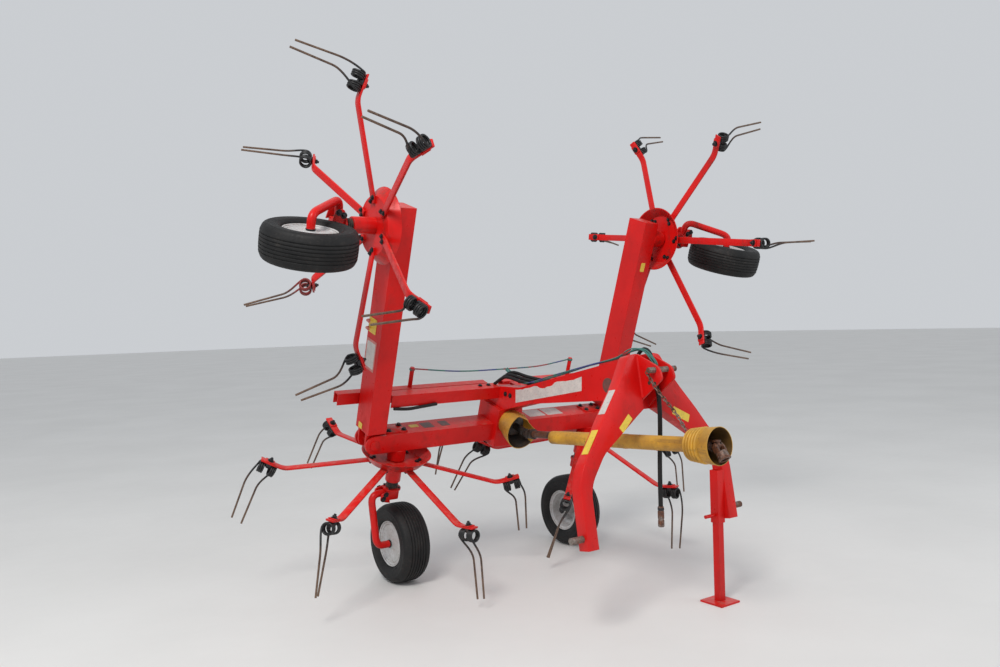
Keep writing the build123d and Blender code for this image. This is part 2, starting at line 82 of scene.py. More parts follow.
# Each rotor's name, side, whether it is an outer one, its first arm's angle, and the sense its tines trail in
ROTORS = [
    ("inner_right", -1, False, -24, 1),
    ("inner_left", 1, False, 16, 1),
    ("outer_right", -1, True, -12, -1),
    ("outer_left", 1, True, 18, -1),
]


def plane(origin, x_dir, z_dir):
    """A place as a matrix, from its origin and the directions of its x and z."""
    x, z = Vector(x_dir).normalized(), Vector(z_dir).normalized()
    place = Matrix((x, z.cross(x), z)).transposed().to_4x4()
    place.translation = Vector(origin)
    return place


def shifted(place, x, y, z):
    return place @ Matrix.Translation((x, y, z))


def spun(place, angle, axis="X"):
    return place @ Matrix.Rotation(angle, 4, axis)


def axes(place):
    """The directions of the place's x, y and z."""
    return [Vector(axis) for axis in place.to_3x3().transposed()]


FRAME = plane((0, BEAM_Y, BEAM_HEIGHT), (1, 0, 0), (0, -sin(PITCH), cos(PITCH)))
FRAME_X, FRAME_Y, FRAME_Z = axes(FRAME)


def arm_place(side):
    """The folded arm's own place: x outward along the arm, z where its top faces."""
    return plane(FRAME @ Vector((side * HINGE_X, 0, 0)),
                 FRAME_X * side * cos(FOLD) + FRAME_Z * sin(FOLD),
                 FRAME_Z * cos(FOLD) - FRAME_X * side * sin(FOLD))


def rotor_place(side, outer):
    """The rotor's place on its axis at the beam's line, x outboard."""
    if outer:
        return shifted(arm_place(side), OUTER_REACH, side * ROTOR_SETBACK, 0)
    return plane(FRAME @ Vector((side * ROTOR_SPACING / 2, ROTOR_SETBACK, 0)), FRAME_X * side, FRAME_Z)


def wheel_place(side, outer):
    """The wheel's middle, z along its axle away from the wheel's leg."""
    base = rotor_place(side, outer)
    if outer:
        middle = base @ Vector((OUTER_WHEEL[0], side * OUTER_WHEEL[1], OUTER_WHEEL[2]))
    else:
        middle = Vector((side * (ROTOR_SPACING / 2 + INNER_WHEEL[0]), BEAM_Y + INNER_WHEEL[1],
                         WHEEL_D / 2))
    x, z = axes(base)[::2]
    return plane(middle, z, -x)


# Shapes: each gives points and faces in its own place

def lathe(profile, segments=48, closed=False):
    """A profile of (radius, height) turned about z."""
    verts, faces, rings = [], [], []
    for r, z in profile:
        if r < 1e-6:
            rings.append([len(verts)] * segments)
            verts.append(Vector((0, 0, z)))
            continue
        rings.append(list(range(len(verts), len(verts) + segments)))
        verts += [Vector((r * cos(2 * pi * i / segments), r * sin(2 * pi * i / segments), z))
                  for i in range(segments)]
    pairs = list(zip(rings, rings[1:]))
    if closed:
        pairs.append((rings[-1], rings[0]))
    for low, high in pairs:
        for i in range(segments):
            j = (i + 1) % segments
            face = []
            for v in (low[i], low[j], high[j], high[i]):
                if v not in face:
                    face.append(v)
            if len(face) > 2:
                faces.append(face)
    return verts, faces


def tube(points, radius, sides=10, ends=True):
    """A round bar along points, with flat ends. The radius may be a list, one for each point."""
    points = [Vector(p) for p in points]
    radii = radius if isinstance(radius, list) else [radius] * len(points)
    verts, faces = [], []
    tangent = (points[1] - points[0]).normalized()
    normal = tangent.orthogonal().normalized()
    last = len(points) - 1
    for i, point in enumerate(points):
        heading = (points[min(i + 1, last)] - points[max(i - 1, 0)]).normalized()
        normal = tangent.rotation_difference(heading) @ normal
        normal = (normal - heading * normal.dot(heading)).normalized()
        tangent = heading
        side = heading.cross(normal)
        verts += [point + (normal * cos(2 * pi * k / sides) + side * sin(2 * pi * k / sides)) * radii[i]
                  for k in range(sides)]
    for i in range(last):
        for k in range(sides):
            m = (k + 1) % sides
            faces.append([i * sides + k, i * sides + m, (i + 1) * sides + m, (i + 1) * sides + k])
    if ends:
        faces.append(list(range(sides))[::-1])
        faces.append([last * sides + k for k in range(sides)])
    return verts, faces


def curve_points(points, steps=8):
    """Points on a smooth line through the given ones."""
    points = [Vector(p) for p in points]
    ends = [points[0] * 2 - points[1], *points, points[-1] * 2 - points[-2]]
    made = []
    for a, b, c, d in zip(ends, ends[1:], ends[2:], ends[3:]):
        for i in range(steps):
            t = i / steps
            made.append(0.5 * (2 * b + (c - a) * t + (2 * a - 5 * b + 4 * c - d) * t * t
                               + (3 * b - a - 3 * c + d) * t * t * t))
    made.append(points[-1])
    return made


def slab(outline, low, high, rounding=0.0015, steps=2):
    """A flat outline in x and y drawn out along z, with its edges rounded."""
    bm = bmesh.new()
    face = bm.faces.new([bm.verts.new((x, y, low)) for x, y in outline])
    made = bmesh.ops.extrude_face_region(bm, geom=[face])
    moved = [v for v in made["geom"] if isinstance(v, bmesh.types.BMVert)]
    bmesh.ops.translate(bm, verts=moved, vec=(0, 0, high - low))
    if rounding:
        bmesh.ops.bevel(bm, geom=list(bm.edges), offset=rounding, segments=steps, affect="EDGES",
                        profile=0.5, clamp_overlap=True)
    bm.verts.index_update()
    verts = [v.co.copy() for v in bm.verts]
    faces = [[v.index for v in f.verts] for f in bm.faces]
    bm.free()
    return verts, faces


def rounded_path(points, reach, steps=8):
    """A line through the points that turns each corner in an even bend."""
    points = [Vector(p) for p in points]
    made = [points[0]]
    for a, b, c in zip(points, points[1:], points[2:]):
        start = b + (a - b).normalized() * min(reach, (a - b).length * 0.5)
        end = b + (c - b).normalized() * min(reach, (c - b).length * 0.5)
        made += [start * (1 - t) ** 2 + b * (2 * t * (1 - t)) + end * t * t
                 for t in (k / steps for k in range(steps + 1))]
    return made + [points[-1]]


def rounded(outline, reaches, steps=6):
    """The outline with bends in place of the corners that reaches names."""
    made = []
    for i, point in enumerate(outline):
        if i not in reaches:
            made.append(point)
            continue
        before, after = outline[i - 1], outline[(i + 1) % len(outline)]
        bend = rounded_path([(*before, 0), (*point, 0), (*after, 0)], reaches[i], steps)
        made += [(p.x, p.y) for p in bend[1:-1]]
    return made


def box_outline(width, depth, corner=0.0, steps=4):
    """A rectangle about the middle, with its corners rounded if corner says how far."""
    x, y = width / 2, depth / 2
    outline = [(-x, -y), (x, -y), (x, y), (-x, y)]
    return rounded(outline, {i: corner for i in range(4)}, steps) if corner else outline


def hexagon(radius):
    return [(radius * cos(pi * k / 3), radius * sin(pi * k / 3)) for k in range(6)]


def new_object(name, data):
    made = bpy.data.objects.new(name, data)
    bpy.context.scene.collection.objects.link(made)
    return made


class Piece:
    """A mesh gathered shape by shape in the row's frame, that rides on one body."""

    def __init__(self, name, body, slot, *materials):
        self.name, self.body, self.slot, self.materials = name, body, slot, materials
        self.verts, self.faces, self.marks, self.along = [], [], [], []

    def add(self, shape, place=None, material=0, along=None):
        verts, faces = shape
        start = len(self.verts)
        self.verts += [place @ v for v in verts] if place else verts
        self.faces += [[start + i for i in f] for f in faces]
        self.marks += [material] * len(faces)
        self.along += along if along else [0.0] * len(verts)

    def bolt(self, place, across=0.019, height=0.011, material=0, washer=True, thread=0.0):
        """A hexagon head standing up from the place, on a washer, with its thread's end if it has one."""
        if washer:
            rim = across * 0.85
            self.add(lathe([(0, 0), (rim, 0), (rim, 0.002), (0, 0.002)], 20), place, material)
        self.add(slab(hexagon(across / 3 ** 0.5), 0.001, height, height * 0.12, 1), place, material)
        if thread:
            r, end = across * 0.32, height + thread
            self.add(lathe([(0, height), (r, height), (r, end - 0.001), (across * 0.26, end), (0, end)], 14),
                     place, material)

    def done(self, smooth=34, replaces=()):
        mesh = bpy.data.meshes.new(self.name)
        mesh.from_pydata(self.verts, [], self.faces)
        bm = bmesh.new()
        bm.from_mesh(mesh)
        bmesh.ops.recalc_face_normals(bm, faces=bm.faces)
        bm.to_mesh(mesh)
        bm.free()
        mesh.polygons.foreach_set("material_index", self.marks)
        mesh.polygons.foreach_set("use_smooth", [True] * len(mesh.polygons))
        mesh.set_sharp_from_angle(angle=radians(smooth))
        mesh.attributes.new("along", "FLOAT", "POINT").data.foreach_set("value", self.along)
        for material in self.materials:
            mesh.materials.append(material)
        piece = new_object(self.name, mesh)
        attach(piece, self.body)
        if replaces:
            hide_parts(*replaces)
        return piece


# Materials

class Shader:
    """A material's node tree, built a node at a time."""

    def __init__(self, name):
        self.material = bpy.data.materials.new(name)
        self.material.use_nodes = True
        self.tree = self.material.node_tree
        self.surface = self.tree.nodes["Principled BSDF"]
        self.coords = self.tree.nodes.new("ShaderNodeTexCoord")

    def node(self, kind, inputs=(), **settings):
        node = self.tree.nodes.new(kind)
        for key, value in settings.items():
            setattr(node, key, value)
        for key, value in dict(inputs).items():
            self.put(node.inputs[key], value)
        return node

    def put(self, socket, value):
        if isinstance(value, bpy.types.NodeSocket):
            self.tree.links.new(value, socket)
        elif isinstance(value, (tuple, list)) and len(value) == 3 and socket.type == "RGBA":
            socket.default_value = (*value, 1)
        else:
            socket.default_value = value

    def noise(self, scale, detail=4.0, roughness=0.55, distortion=0.0, stretch=None):
        where = self.coords.outputs["Object"]
        if stretch:
            where = self.node("ShaderNodeMapping", {"Vector": where, "Scale": stretch}).outputs[0]
        settings = {"Vector": where, "Scale": scale, "Detail": detail, "Roughness": roughness,
                    "Distortion": distortion}
        return self.node("ShaderNodeTexNoise", settings).outputs["Fac"]

    def span(self, value, low, high, start=0.0, end=1.0):
        """The value's stretch from low to high, as start to end, clamped."""
        return self.node("ShaderNodeMapRange", {"Value": value, "From Min": low, "From Max": high,
                                                "To Min": start, "To Max": end}).outputs["Result"]

    def math(self, operation, a, b=0.0):
        node = self.node("ShaderNodeMath", operation=operation)
        self.put(node.inputs[0], a)
        self.put(node.inputs[1], b)
        return node.outputs[0]

    def times(self, a, b):
        return self.math("MULTIPLY", a, b)

    def mix(self, share, a, b):
        node = self.node("ShaderNodeMix", data_type="RGBA")
        self.put(node.inputs["Factor"], share)
        self.put(node.inputs[6], a)
        self.put(node.inputs[7], b)
        return node.outputs[2]

    def facing_up(self):
        """How far the surface faces up as the piece stands at rest, from -1 to 1."""
        split = self.node("ShaderNodeSeparateXYZ", {"Vector": self.coords.outputs["Normal"]})
        return split.outputs["Z"]

    def height(self):
        return self.node("ShaderNodeSeparateXYZ", {"Vector": self.coords.outputs["Object"]}).outputs["Z"]

    def edges(self, radius):
        """1 near the mesh's sharp edges and 0 away from them, and the rounded normal."""
        rounded = self.node("ShaderNodeBevel", {"Radius": radius}, samples=6)
        plain = self.node("ShaderNodeNewGeometry").outputs["Normal"]
        dot = self.node("ShaderNodeVectorMath", {0: rounded.outputs[0], 1: plain}, operation="DOT_PRODUCT")
        return self.span(dot.outputs["Value"], 0.995, 0.86), rounded.outputs[0]

    def finish(self, colour, roughness, bump=None, distance=0.001, strength=0.3, metallic=0.0, normal=None):
        self.put(self.surface.inputs["Base Color"], colour)
        self.put(self.surface.inputs["Roughness"], roughness)
        self.put(self.surface.inputs["Metallic"], metallic)
        if bump is not None:
            node = self.node("ShaderNodeBump", {"Height": bump, "Distance": distance, "Strength": strength})
            if normal is not None:
                self.put(node.inputs["Normal"], normal)
            self.put(self.surface.inputs["Normal"], node.outputs[0])
        elif normal is not None:
            self.put(self.surface.inputs["Normal"], normal)
        return self.material


RED, DEEP_RED, FADED_RED = (0.66, 0.006, 0.005), (0.36, 0.004, 0.004), (0.72, 0.034, 0.026)
RUST, DARK_RUST, DUST = (0.16, 0.055, 0.022), (0.045, 0.018, 0.011), (0.42, 0.36, 0.29)
GREASE = (0.012, 0.010, 0.009)


def red_paint(name, wear=0.5, grime_and_underside=0.4, fade=0.5, corner=0.0025):
    """Red machine paint: faded on top, grimy in streaks, darker on its undersides, chipped to rust along its
    edges.
    """
    s = Shader(name)
    broad = s.noise(3.2, 5, 0.6)
    streaks = s.noise(2.1, 6, 0.62, 0.3, (5, 5, 0.9))
    fine = s.noise(34, 6, 0.62)
    specks = s.noise(120, 3, 0.6)
    edge, rounded = s.edges(corner)
    up = s.facing_up()
    colour = s.mix(s.span(broad, 0.38, 0.66, 0, 0.45), RED, DEEP_RED)
    sunny = s.times(s.span(up, 0.25, 0.95), s.span(streaks, 0.32, 0.62, 0.25, 1.0))
    colour = s.mix(s.times(sunny, fade), colour, FADED_RED)
    darkened = s.times(s.span(streaks, 0.50, 0.72), s.span(fine, 0.38, 0.62))
    colour = s.mix(s.times(darkened, grime_and_underside), colour, (0.10, 0.018, 0.012))
    # Faces that turn down are darkened towards a dark brown by the same share.
    low = s.times(s.span(up, -0.2, -0.95, 0, 0.6), s.span(fine, 0.35, 0.60))
    colour = s.mix(s.times(low, grime_and_underside), colour, (0.07, 0.020, 0.014))
    dusty = s.times(s.span(up, 0.55, 1.0), s.span(fine, 0.48, 0.68))
    colour = s.mix(s.times(dusty, 0.28), colour, DUST)
    chips = s.times(edge, s.span(s.noise(58, 5, 0.7), 0.56, 0.62))
    chips = s.math("MAXIMUM", chips, s.times(s.span(specks, 0.715, 0.73), s.span(broad, 0.5, 0.6)))
    chips = s.times(chips, wear)
    colour = s.mix(chips, colour, s.mix(s.span(fine, 0.4, 0.6), DARK_RUST, RUST))
    rough = s.math("ADD", s.span(fine, 0.3, 0.7, 0.26, 0.40), s.times(chips, 0.4))
    rough = s.math("ADD", rough, s.times(darkened, 0.22))
    height = s.math("SUBTRACT", s.times(s.noise(260, 2), 0.12), s.times(chips, 0.6))
    s.surface.inputs["Specular IOR Level"].default_value = 0.30
    return s.finish(colour, rough, height, 0.0006, 0.5, normal=rounded)


def rusty_steel(name, rust=0.6, dark=0.3, roughness=0.5):
    """Bare steel gone brown, with grease in its hollows."""
    s = Shader(name)
    broad, fine = s.noise(22, 6, 0.65), s.noise(150, 5, 0.65)
    _, rounded = s.edges(0.001)
    colour = s.mix(s.span(fine, 0.35, 0.65), (0.20, 0.17, 0.15), (0.34, 0.31, 0.28))
    brown = s.mix(s.span(fine, 0.4, 0.62), DARK_RUST, RUST)
    share = s.span(broad, 0.62 - 0.4 * rust, 0.78 - 0.4 * rust)
    colour = s.mix(share, colour, brown)
    colour = s.mix(s.times(s.span(s.noise(9, 4), 0.5, 0.6), dark), colour, GREASE)
    metal = s.span(share, 0, 1, 0.75, 0.05)
    rough = s.span(fine, 0.3, 0.7, roughness - 0.1, roughness + 0.2)
    return s.finish(colour, rough, fine, 0.0004, 0.6, metal, rounded)


def dark_metal(name, colour=(0.018, 0.018, 0.020), rust=0.25, roughness=0.42):
    """Blackened or oily steel, such as bolts and springs, with rust breaking through."""
    s = Shader(name)
    broad, fine = s.noise(40, 5, 0.62), s.noise(210, 4, 0.6)
    base = s.mix(s.span(fine, 0.35, 0.65), colour, tuple(c * 2.2 for c in colour))
    share = s.span(broad, 0.66 - 0.3 * rust, 0.80 - 0.3 * rust)
    base = s.mix(share, base, s.mix(fine, DARK_RUST, RUST))
    rough = s.span(fine, 0.3, 0.7, roughness - 0.12, roughness + 0.18)
    return s.finish(base, rough, fine, 0.0003, 0.5, s.span(share, 0, 1, 0.55, 0.0))


def spring_wire(name, base):
    """A tine: painted at its coil, worn brown and then bare towards its tip."""
    s = Shader(name)
    along = s.node("ShaderNodeAttribute", attribute_name="along").outputs["Fac"]
    fine, broad = s.noise(180, 4, 0.6), s.noise(30, 5, 0.6)
    worn = s.math("ADD", along, s.span(broad, 0.3, 0.7, -0.22, 0.22))
    colour = s.mix(s.span(worn, 0.30, 0.62), base, s.mix(fine, DARK_RUST, (0.075, 0.048, 0.034)))
    colour = s.mix(s.span(worn, 0.66, 0.95), colour, s.mix(s.span(fine, 0.35, 0.65), (0.11, 0.058, 0.034),
                                                           (0.21, 0.145, 0.105)))
    metal = s.span(worn, 0.55, 1.0, 0.0, 0.35)
    return s.finish(colour, s.span(fine, 0.3, 0.7, 0.34, 0.58), fine, 0.0003, 0.5, metal)


def guard_plastic(name, base=(0.62, 0.33, 0.028), shade=(0.30, 0.145, 0.018), sun=(0.72, 0.46, 0.11)):
    """Ochre moulded plastic, scuffed and stained, chalky where the sun reaches it."""
    s = Shader(name)
    broad, fine = s.noise(7, 5, 0.6), s.noise(75, 5, 0.62)
    scuffs = s.noise(26, 6, 0.7, 0.4, (1, 0.12, 1))
    edge, rounded = s.edges(0.0015)
    colour = s.mix(s.span(broad, 0.36, 0.66), base, shade)
    colour = s.mix(s.span(s.facing_up(), 0.2, 1.0, 0, 0.35), colour, sun)
    colour = s.mix(s.times(s.span(scuffs, 0.56, 0.66), 0.5), colour, (0.13, 0.075, 0.03))
    colour = s.mix(s.times(edge, 0.35), colour, sun)
    colour = s.mix(s.times(s.span(fine, 0.60, 0.70), 0.55), colour, (0.07, 0.045, 0.02))
    return s.finish(colour, s.span(fine, 0.3, 0.7, 0.42, 0.62), fine, 0.0004, 0.35, normal=rounded)


def black_rubber(name, dust=0.22):
    """Tyre rubber: near black, greyed by dust, browner on the tread."""
    s = Shader(name)
    broad, fine = s.noise(9, 5, 0.62), s.noise(90, 5, 0.65)
    colour = s.mix(s.span(broad, 0.35, 0.65), (0.0045, 0.0048, 0.0055), (0.012, 0.0118, 0.012))
    rub = s.times(s.span(fine, 0.50, 0.68), s.span(broad, 0.42, 0.60))
    colour = s.mix(s.times(rub, dust), colour, (0.12, 0.10, 0.085))
    s.surface.inputs["Specular IOR Level"].default_value = 0.32
    return s.finish(colour, s.span(fine, 0.3, 0.7, 0.50, 0.74), fine, 0.0005, 0.45)


def pale_rim(name):
    """Light grey wheel paint with brake-brown dust in it and rust at its edges."""
    s = Shader(name)
    broad, fine = s.noise(11, 5, 0.6), s.noise(85, 5, 0.65)
    edge, rounded = s.edges(0.0015)
    colour = s.mix(s.span(broad, 0.35, 0.65), (0.58, 0.585, 0.59), (0.43, 0.43, 0.42))
    colour = s.mix(s.times(s.span(fine, 0.52, 0.68), 0.55), colour, (0.26, 0.20, 0.15))
    colour = s.mix(s.times(s.times(edge, s.span(broad, 0.5, 0.6)), 0.8), colour, RUST)
    return s.finish(colour, s.span(fine, 0.3, 0.7, 0.36, 0.55), fine, 0.0004, 0.35, normal=rounded)


def pale_floor(name):
    s = Shader(name)
    colour = s.mix(s.span(s.noise(0.8, 5), 0.35, 0.65), (0.70, 0.695, 0.68), (0.74, 0.735, 0.72))
    return s.finish(colour, s.span(s.noise(14, 4), 0.3, 0.7, 0.55, 0.68))


def film(name, base, shade, torn=0.25):
    """A blank label: sun-bleached film, scuffed, with the paint showing through where it is torn."""
    s = Shader(name)
    broad, fine = s.noise(26, 5, 0.62), s.noise(130, 5, 0.65)
    colour = s.mix(s.span(broad, 0.36, 0.64), base, shade)
    colour = s.mix(s.times(s.span(fine, 0.56, 0.70), 0.55), colour, (0.16, 0.12, 0.09))
    colour = s.mix(s.times(s.span(s.noise(44, 6, 0.7), 0.64, 0.66), torn), colour, RED)
    return s.finish(colour, s.span(fine, 0.3, 0.7, 0.30, 0.48), fine, 0.0003, 0.3)


def greasy(name):
    """Black grease and dirt with a few wet glints. The same black also stands in as painted shade."""
    s = Shader(name)
    broad, fine = s.noise(30, 5, 0.65), s.noise(160, 5, 0.7)
    colour = s.mix(s.span(broad, 0.40, 0.66), GREASE, (0.055, 0.036, 0.024))
    return s.finish(colour, s.span(fine, 0.35, 0.65, 0.28, 0.62), fine, 0.0008, 0.7)


def twisted_rope(name):
    """Braided line, blue with green and red threads, greyed by weather."""
    s = Shader(name)
    tone = s.noise(9, 3, 0.5)
    strand = s.noise(330, 3, 0.6)
    colour = s.mix(s.span(tone, 0.44, 0.48), (0.030, 0.055, 0.22), (0.020, 0.16, 0.13))
    colour = s.mix(s.span(tone, 0.57, 0.60), colour, (0.30, 0.030, 0.028))
    colour = s.mix(s.span(strand, 0.52, 0.62, 0, 0.55), colour, (0.20, 0.20, 0.22))
    return s.finish(colour, s.span(strand, 0.3, 0.7, 0.6, 0.85), strand, 0.0012, 0.9)


PAINT = red_paint("red_paint")
ARM_PAINT = red_paint("red_paint_arms", wear=0.5, grime_and_underside=0.3, fade=0.35)
WORN_PAINT = red_paint("red_paint_worn", wear=0.95, grime_and_underside=0.85, fade=0.5)
TINE_PAINT = red_paint("red_paint_tine_arms", wear=0.8, grime_and_underside=0.75, fade=0.55, corner=0.0015)
PINK_FILM = film("faded_label_edge", (0.62, 0.20, 0.17), (0.50, 0.12, 0.10), 0.3)
DULL_FILM = film("dirty_label_film", (0.070, 0.045, 0.036), (0.16, 0.055, 0.045), 0.5)
# Pale film for blank labels; on the headstock's near leg it is laid as a painted highlight.
PALE_FILM_AND_HIGHLIGHT = film("pale_label_film_and_painted_highlight", (0.62, 0.58, 0.54), (0.50, 0.47, 0.45))
YELLOW_FILM = film("yellow_label_film", (0.78, 0.56, 0.05), (0.66, 0.47, 0.05), 0.1)
# Black grease on the hubs and shaft, and painted shade inside the gearbox guard and in the headstock's holes.
GREASE_AND_SHADE = greasy("black_grease_and_painted_shade")
ROPE = twisted_rope("braided_rope")
HOSE = black_rubber("hose_rubber", 0.2)
STEEL = rusty_steel("rusty_steel")
SHAFT_STEEL = rusty_steel("greasy_steel", 0.75, 0.75, 0.42)
BOLT = dark_metal("bolt_steel")
BLACK_WIRE = spring_wire("tine_wire_black", (0.006, 0.006, 0.007))
RED_WIRE = spring_wire("tine_wire_red", (0.20, 0.012, 0.010))
GUARD = guard_plastic("guard_plastic")
# A dark ochre for the inside of the front cone: painted shade.
GUARD_INSIDE = guard_plastic("guard_plastic_painted_shade", (0.11, 0.055, 0.012), (0.028, 0.016, 0.009),
                             (0.16, 0.085, 0.02))
RUBBER = black_rubber("tyre_rubber")
RIM = pale_rim("rim_paint")


def dress(material, *names):
    """A carried-over solid gets a better finish through its object's material slots."""
    for name in names:
        for slot in nodes[name].material_slots:
            slot.link = "OBJECT"
            slot.material = material


# Wheels

TREAD_GROOVES = (0.0075, 0.0225, 0.0375)


def tyre_profile():
    """The tyre's section: beads, sidewalls with their rings, shoulders and grooved tread."""
    side = [(0.106, 0.052), (0.114, 0.0535), (0.117, 0.060), (0.121, 0.065), (0.128, 0.0700),
            (0.131, 0.0708), (0.1325, 0.0722), (0.134, 0.0713), (0.141, 0.0738), (0.150, 0.0748),
            (0.159, 0.0747), (0.168, 0.0740), (0.1695, 0.0748), (0.1715, 0.0748), (0.173, 0.0734),
            (0.1785, 0.0722), (0.1835, 0.0690), (0.1880, 0.0640), (0.1910, 0.0585), (0.1925, 0.0540)]
    tread = []
    for groove in reversed(TREAD_GROOVES):
        crown = 0.1988 - 0.0028 * (groove / 0.05) ** 2
        wall = [(crown, 0.0034), (crown - 0.0006, 0.0026), (crown - 0.0036, 0.0018)]
        tread += [(r, groove + out) for r, out in wall] + [(r, groove - out) for r, out in reversed(wall)]
    half = side + [(0.1955, 0.0480), (0.1965, 0.0440)] + tread
    return half + [(r, -z) for r, z in reversed(half)]


def rim_profile():
    """The rim's section: a deep stepped well away from the leg, and an almost flush disc towards it."""
    well = [(0.0132, 0.0548), (0.0265, 0.0548), (0.0272, -0.0330), (0.0320, -0.0360), (0.0620, -0.0372),
            (0.0690, -0.0350), (0.0720, -0.0080), (0.0740, -0.0040), (0.0850, 0.0010), (0.0900, 0.0060),
            (0.0930, 0.0350), (0.0970, 0.0490), (0.1010, 0.0520), (0.1080, 0.0530), (0.1110, 0.0545),
            (0.1135, 0.0575), (0.1128, 0.0580), (0.1085, 0.0560), (0.1075, 0.0538), (0.1055, 0.0520)]
    barrel = [(0.1040, 0.0300), (0.0945, 0.0240), (0.0945, -0.0240), (0.1040, -0.0300)]
    face = [(0.1055, -0.0520), (0.1075, -0.0538), (0.1085, -0.0560), (0.1128, -0.0580), (0.1135, -0.0575),
            (0.1110, -0.0545), (0.1060, -0.0528), (0.0985, -0.0522), (0.0965, -0.0505), (0.0955, -0.0480),
            (0.0940, -0.0478), (0.0925, -0.0492), (0.0600, -0.0505), (0.0275, -0.0515), (0.0265, -0.0548),
            (0.0132, -0.0548)]
    return well + barrel + face


def wheels():
    for name, side, outer, *_ in ROTORS:
        place = wheel_place(side, outer)
        tyre = Piece(f"ribbed_tyre_{name}", f"wheel_{name}", "tyre", RUBBER)
        tyre.add(lathe(tyre_profile(), 96, True), place)
        tyre.done(replaces=[f"tyre_{name}"])
        rim = Piece(f"pressed_rim_{name}", f"wheel_{name}", "rim_paint", RIM, BOLT)
        rim.add(lathe(rim_profile(), 72, True), place)
        rim.add(tube([(0.080, 0, -0.004), (0.082, 0, 0.014), (0.0825, 0, 0.030), (0.0825, 0, 0.034)],
                     [0.0034, 0.0032, 0.0030, 0.0022]), place, 1)
        rim.done(replaces=[f"rim_{name}"])


# Tines

def coil_seat(place):
    """The place in the middle of a pair of coils, x along the tine arm's raised end."""
    (r1, z1), (r2, z2) = TINE_ARM[-2:]
    slope = Vector((r2 - r1, 0, z2 - z1)).normalized()
    drop = ARM_BAR_THICKNESS / 2 + COIL_GAP + COIL_D / 2
    run = (COIL_RADIUS - r1 - drop * slope.z) / slope.x
    middle = Vector((r1, 0, z1)) + slope * run + Vector((slope.z, 0, -slope.x)) * drop
    return place @ plane(middle, slope, (-slope.z, 0, slope.x))


def bezier(a, b, c, d, steps):
    """Points on a cubic from a to d, without its end."""
    made = []
    for i in range(steps):
        t = i / steps
        made.append(a * (1 - t) ** 3 + b * 3 * t * (1 - t) ** 2 + c * 3 * t * t * (1 - t) + d * t ** 3)
    return made


def coil_turns(seat, start_x, end, back, radius):
    """One coil of a pair, from where its leg leaves it towards the pair's middle."""
    turns = []
    for i in range(int(COIL_TURNS * TURN_STEPS) + 1):
        angle = 2 * pi * i / TURN_STEPS
        turns.append(seat @ Vector((start_x - end * TURN_PITCH * angle / (2 * pi),
                                    back * radius * cos(angle), radius * sin(angle))))
    return turns


def tine_route(place, seat, back, shake):
    """One double tine's wire: up from a tip, round its coil, across, and down to the other tip."""
    radius = (COIL_D - TINE_D) / 2
    halves = []
    for end in (-1, 1):
        start_x = end * (COIL_PITCH / 2 + TURN_PITCH * COIL_TURNS / 2)
        middle = place.inverted() @ (seat @ Vector((end * COIL_PITCH / 2, 0, 0)))
        lean = shake() * LEAN
        knee = middle + Vector((TINE_KNEE[0] + lean, -back * KNEE_TRAIL, TINE_KNEE[1]))
        tip = middle + Vector((TINE_TIP[0] - TIP_PULL[end] + lean - abs(shake()) * TIP_SHAKE,
                               -back * (TINE_TRAIL + shake() * TRAIL_SHAKE),
                               TINE_TIP[1] + shake() * DROP_SHAKE))
        knee, tip = place @ knee, place @ tip
        down = (tip - knee).normalized()
        begin = seat @ Vector((start_x, back * radius, 0))
        away = (seat.to_3x3() @ Vector((0.25, -back * 0.10, -1))).normalized()
        elbow = knee.lerp(tip, ELBOW)
        leg = [tip.lerp(elbow, t / STRAIGHT_STEPS) for t in range(STRAIGHT_STEPS)]
        leg += bezier(elbow, elbow - down * 0.050, begin + away * 0.030, begin, BEND_STEPS)
        bridge = [seat @ Vector((end * 0.010, -back * 0.006, radius + 0.001))]
        halves.append(leg + coil_turns(seat, start_x, end, back, radius) + bridge)
    crossing = seat @ Vector((0, -back * 0.008, radius + 0.001))
    return [*halves[0], crossing, *halves[1][::-1]], len(halves[0])


def arm_spot(base, name, side, first, index):
    """The place of a tine arm, x outward along it. One arm of the real machine is bent down."""
    place = spun(base, radians(-side * (first + index * ARM_TURN)), "Z")
    if (name, index) != BENT_ARM[:2]:
        return place
    r, z = TINE_ARM[1]
    return shifted(spun(shifted(place, r, 0, z), BENT_ARM[2], "Y"), -r, 0, -z)


def tine_arms():
    """Flat bars, bent at the dish and again where they rise over the coils."""
    half = ARM_BAR_THICKNESS / 2
    ends = [(r, z + half) for r, z in TINE_ARM] + [(r, z - half) for r, z in reversed(TINE_ARM)]
    outline = rounded(ends, {1: 0.010, 2: 0.024, 5: 0.028, 6: 0.012})
    for name, side, outer, first, _ in ROTORS:
        base = rotor_place(side, outer)
        piece = Piece(f"bent_arms_{name}", f"rotor_{name}", "rotor_paint", TINE_PAINT)
        for index in range(ARM_COUNT):
            place = spun(arm_spot(base, name, side, first, index), pi / 2)
            piece.add(slab(outline, -ARM_BAR / 2, ARM_BAR / 2, 0.0018), place)
        piece.done(replaces=[f"tine_arms_{name}"])


def tines():
    """The double tines, each one wire. Along it runs the wear, from 1 at a tip to 0 at the coil."""
    leg = STRAIGHT_STEPS + BEND_STEPS
    for name, side, outer, first, trail in ROTORS:
        base = rotor_place(side, outer)
        rng = random.Random(name)
        piece = Piece(f"spring_tines_{name}", f"rotor_{name}", "spring_steel", BLACK_WIRE, RED_WIRE, BOLT)
        for index in range(ARM_COUNT):
            place = arm_spot(base, name, side, first, index)
            route, half = tine_route(place, coil_seat(place), side * trail, lambda: rng.uniform(-1, 1))
            wear = [max(0.0, 1 - i / leg) for i in range(half)]
            along = [w for w in (*wear, 0.0, *wear[::-1]) for _ in range(TINE_SIDES)]
            material = 1 if (name, index) == RED_TINE else 0
            piece.add(tube(route, TINE_D / 2, TINE_SIDES), None, material, along)
        piece.done(50, replaces=[f"tines_{name}"])


# Tine arms' fastenings and the dish's bolts

